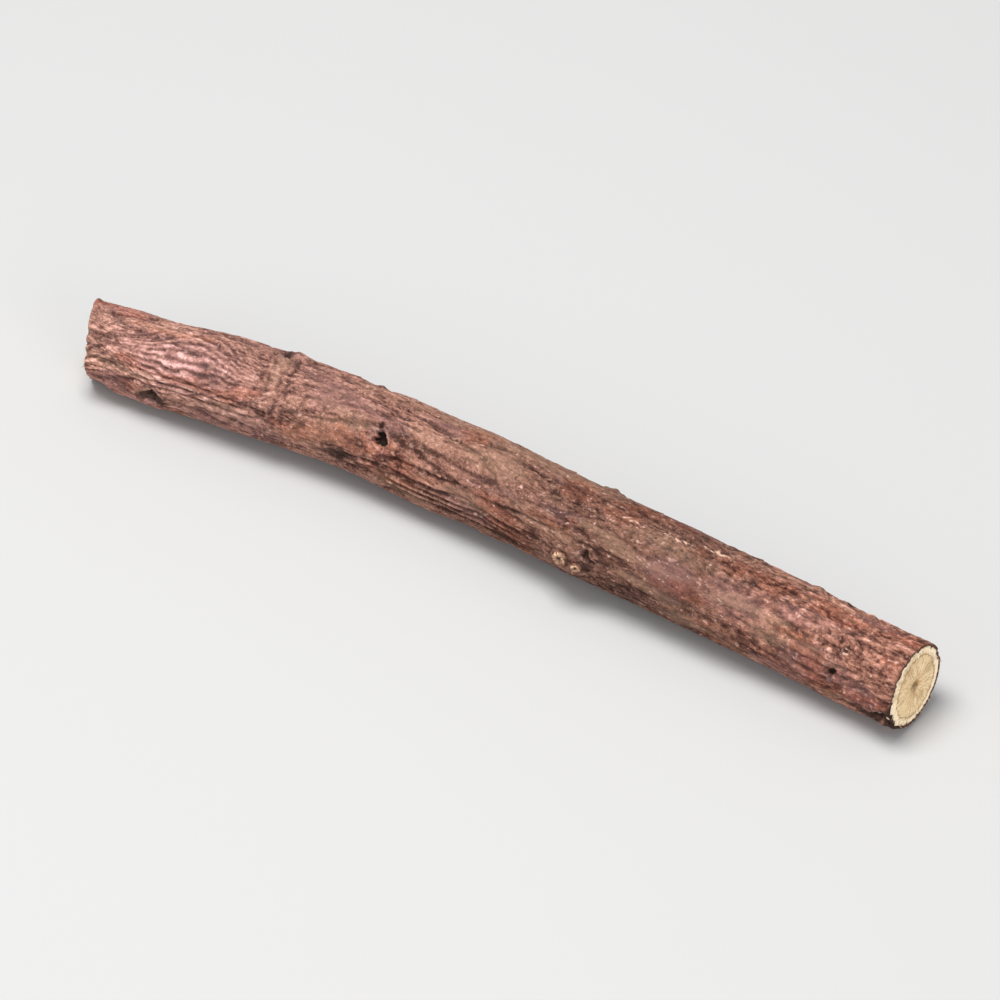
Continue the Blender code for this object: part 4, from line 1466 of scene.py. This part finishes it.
def makeCutFace(name, atX, outward, middle, woodTree, woodMaterial):
    edge, rings = woodMesh["edge"], woodMesh["rings"]
    rowList = [(atX, edge * (i / rings) ** woodMesh["crowding"], 0.0) for i in range(rings + 1)]
    rowList += [(atX, ring, -inset * outward) for ring, inset in woodMesh["back"]]
    x, angle, ring, inset = loftRows(rowList, woodMesh["around"])
    isFront = (inset == 0.0).astype(float)
    rounding = woodMesh["rounding"] * ease((ring - edge + woodMesh["roundOver"]) / woodMesh["roundOver"])
    points, _, _ = rootPoints(x, angle, ring, inset - outward * (faceSink(ring) + rounding) * isFront)
    mesh = loftedMesh(name, len(rowList) - 2, woodMesh["around"], points)
    across = ring * plainRadius(x, angle)
    around, lean = woodForm["rayAround"], woodForm["rayMiddle"] * ring
    ray = [woodForm["rayAlong"] * across, around * np.cos(angle) + lean, around * np.sin(angle) + lean]
    flat = [np.full_like(x, atX), across * np.sin(angle), across * np.cos(angle)]
    fade = woodMesh["frontFade"]
    addAttribute(mesh, "ringPlace", across)
    addAttribute(mesh, "rayPlace", np.stack(ray, axis=1))
    addAttribute(mesh, "facePlace", np.stack(flat, axis=1))
    addAttribute(mesh, "frontFace", isFront * (1.0 - ease((ring - edge + fade) / fade)))
    mesh.vertices.foreach_set("co", ((points - middle) * mm).astype(np.float32).ravel())
    if outward > 0:
        mesh.flip_normals()
    mesh.update()
    return runTree(addPiece(name, mesh), woodTree, {"Outward": outward, "Material": woodMaterial})


# Torn fibres along the rims of both cuts, placed by a tree

# The tree's inputs, lengths in metres; the last three are shares of a fibre's direction
fibreForm = {
    "Seed": 5,
    "Shortest": 0.00010,
    "Longest": 0.00042,
    "Thinnest": 0.00002,
    "Thickest": 0.00006,
    "Along": 0.60,
    "Outward": 0.10,
    "Spread": 0.70,
}

# Tufts at the rims: cut (0 slanting, 1 square), middle angle, half angle, fibres, ring, share of bark colour
fibreTufts = [
    (1, 2.0, 9.0, 7, 0.970, 0.9), (1, -38.0, 14.0, 7, 0.965, 0.8), (1, 118.0, 16.0, 12, 0.960, 1.0),
    (1, 20.0, 200.0, 70, 0.915, 0.1), (1, 220.0, 60.0, 16, 0.965, 0.7),
    (0, 100.0, 22.0, 12, 0.965, 0.6), (0, 20.0, 200.0, 60, 0.915, 0.1), (0, 250.0, 50.0, 12, 0.965, 0.8),
]
tuftForm = {"sink": 0.06, "ringSpread": 0.012}

# Shape of one fibre, one unit long and thick
fibreShape = {"stations": 5, "sides": 3, "taper": 0.75, "bend": 1.6}

fibreLook = {"finish": {"Roughness": 0.85, "Specular IOR Level": 0.35}, "pale": "#D8BC92", "brown": "#5E3E31"}


def fibrePattern():
    # One fibre, one unit long: three sides, bent a little, tapering to a blunt tip.
    stations, sides = fibreShape["stations"], fibreShape["sides"]
    points = []
    for i in range(stations):
        t = i / (stations - 1)
        wide = 1.0 - fibreShape["taper"] * t
        for j in range(sides):
            a = 2.0 * math.pi * j / sides
            points.append((wide * math.cos(a) + fibreShape["bend"] * t * t, wide * math.sin(a), t))
    faces = facesBetween(0, stations, sides)
    last = (stations - 1) * sides
    faces += [tuple(reversed(range(sides))), tuple(range(last, last + sides))]
    mesh = bpy.data.meshes.new("fibre pattern")
    mesh.from_pydata(points, [], faces)
    mesh.shade_smooth()
    return addPiece("fibre pattern", mesh)


def buildFibreTree():
    tree, given, result = newGeometryTree("torn fibres", fibreForm, ("Fibre",))
    pattern = addNode(tree, "GeometryNodeObjectInfo", None, (given["Fibre"],))
    seeds = [addNode(tree, "ShaderNodeMath", add, (given["Seed"], step)) for step in (1.0, 3.0, 4.0)]
    wild = addNode(tree, "FunctionNodeRandomValue", {"data_type": "FLOAT_VECTOR"},
                   {"Min": (-1.0, -1.0, -1.0), "Max": (1.0, 1.0, 1.0), "Seed": seeds[0]})
    thick = addNode(tree, "FunctionNodeRandomValue", {"data_type": "FLOAT"},
                    {"Min": given["Thinnest"], "Max": given["Thickest"], "Seed": seeds[1]}).outputs[1]
    long = addNode(tree, "FunctionNodeRandomValue", {"data_type": "FLOAT"},
                   {"Min": given["Shortest"], "Max": given["Longest"], "Seed": seeds[2]}).outputs[1]

    # A fibre's direction: partly out of the cut, partly out of the bark, partly anywhere
    outward = addNode(tree, "GeometryNodeInputNamedAttribute", storedVector, {"Name": "outward"})
    cutWay = addNode(tree, "GeometryNodeInputNamedAttribute", storedVector, {"Name": "cutWay"})
    way = (0.0, 0.0, 0.0)
    for direction, share in ((cutWay, "Along"), (outward, "Outward"), (wild, "Spread")):
        part = addNode(tree, "ShaderNodeVectorMath", scale, {0: direction, "Scale": given[share]})
        way = addNode(tree, "ShaderNodeVectorMath", add, (way, part))
    turned = addNode(tree, "FunctionNodeAlignRotationToVector", {"axis": "Z"}, {"Vector": way})
    size = addNode(tree, "ShaderNodeCombineXYZ", None, (thick, thick, long))
    points = addNode(tree, "GeometryNodeMeshToPoints", None, {"Mesh": given["Geometry"]})
    placed = addNode(tree, "GeometryNodeInstanceOnPoints", None, {
        "Points": points, "Instance": pattern.outputs["Geometry"], "Rotation": turned, "Scale": size})
    endTree(tree, placed, given["Material"], result)
    return tree


def buildFibreMaterial():
    # Torn bast fibre: dry, matt and pale, brown where it belongs to the bark.
    material, tree, shader = newMaterial("tornBastFibre", fibreLook["finish"])
    barkShare = addNode(tree, "ShaderNodeAttribute", {"attribute_name": "barkShare"}).outputs["Fac"]
    colour = addNode(tree, "ShaderNodeMix", colourMix, {
        0: barkShare, 6: linearColour(fibreLook["pale"]), 7: linearColour(fibreLook["brown"])})
    tree.links.new(colour.outputs[2], shader.inputs["Base Color"])
    return material


def makeFibres(middle):
    rng = np.random.default_rng(fibreForm["Seed"])
    places, outwards, ways, shares = [], [], [], []
    for square, degrees, halfAngle, count, ringAt, barkShare in fibreTufts:
        turn = np.radians(degrees + halfAngle * rng.uniform(-1.0, 1.0, count))
        atX, way = (rootForm["length"], 1.0) if square else (0.0, -1.0)
        ring = ringAt + rng.uniform(-tuftForm["ringSpread"], tuftForm["ringSpread"], count)
        spots, _ = barkPoints(np.full(count, atX), turn, ring, np.full(count, -way * tuftForm["sink"]))
        places.append(spots)
        outwards.append(np.stack([np.zeros(count), -np.sin(turn), np.cos(turn)], axis=1))
        ways.append(np.tile([way, 0.0, 0.0], (count, 1)))
        shares.append(np.full(count, barkShare))
    mesh = bpy.data.meshes.new("torn_fibres")
    mesh.from_pydata(((np.concatenate(places) - middle) * mm).tolist(), [], [])
    for name, values in (("outward", outwards), ("cutWay", ways), ("barkShare", shares)):
        addAttribute(mesh, name, np.concatenate(values))
    fibres = addPiece("torn_fibres", mesh)
    pattern = fibrePattern()
    runTree(fibres, buildFibreTree(), {"Fibre": pattern, "Material": buildFibreMaterial()})
    bpy.data.objects.remove(pattern)
    return fibres


# Making it

print("camera, light and floor")
addCamera()
addLights()
addFloor()

print("bark")
bark, middle = makeBark()
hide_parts("licorice_root")
finishPiece(bark)

print("broken rootlets and loose scales")
stubs = makeStubs(middle)
finishPiece(stubs)
scales = makeScales(bark)
finishPiece(scales)

print("cut faces")
woodTree = buildWoodTree()
woodMaterial = buildWoodMaterial()
squareCut = makeCutFace("square_cut_wood", rootForm["length"], 1.0, middle, woodTree, woodMaterial)
finishPiece(squareCut)
slantCut = makeCutFace("slanting_cut_wood", 0.0, -1.0, middle, woodTree, woodMaterial)
finishPiece(slantCut)

print("torn fibres at the cuts")
fibres = makeFibres(middle)
finishPiece(fibres)
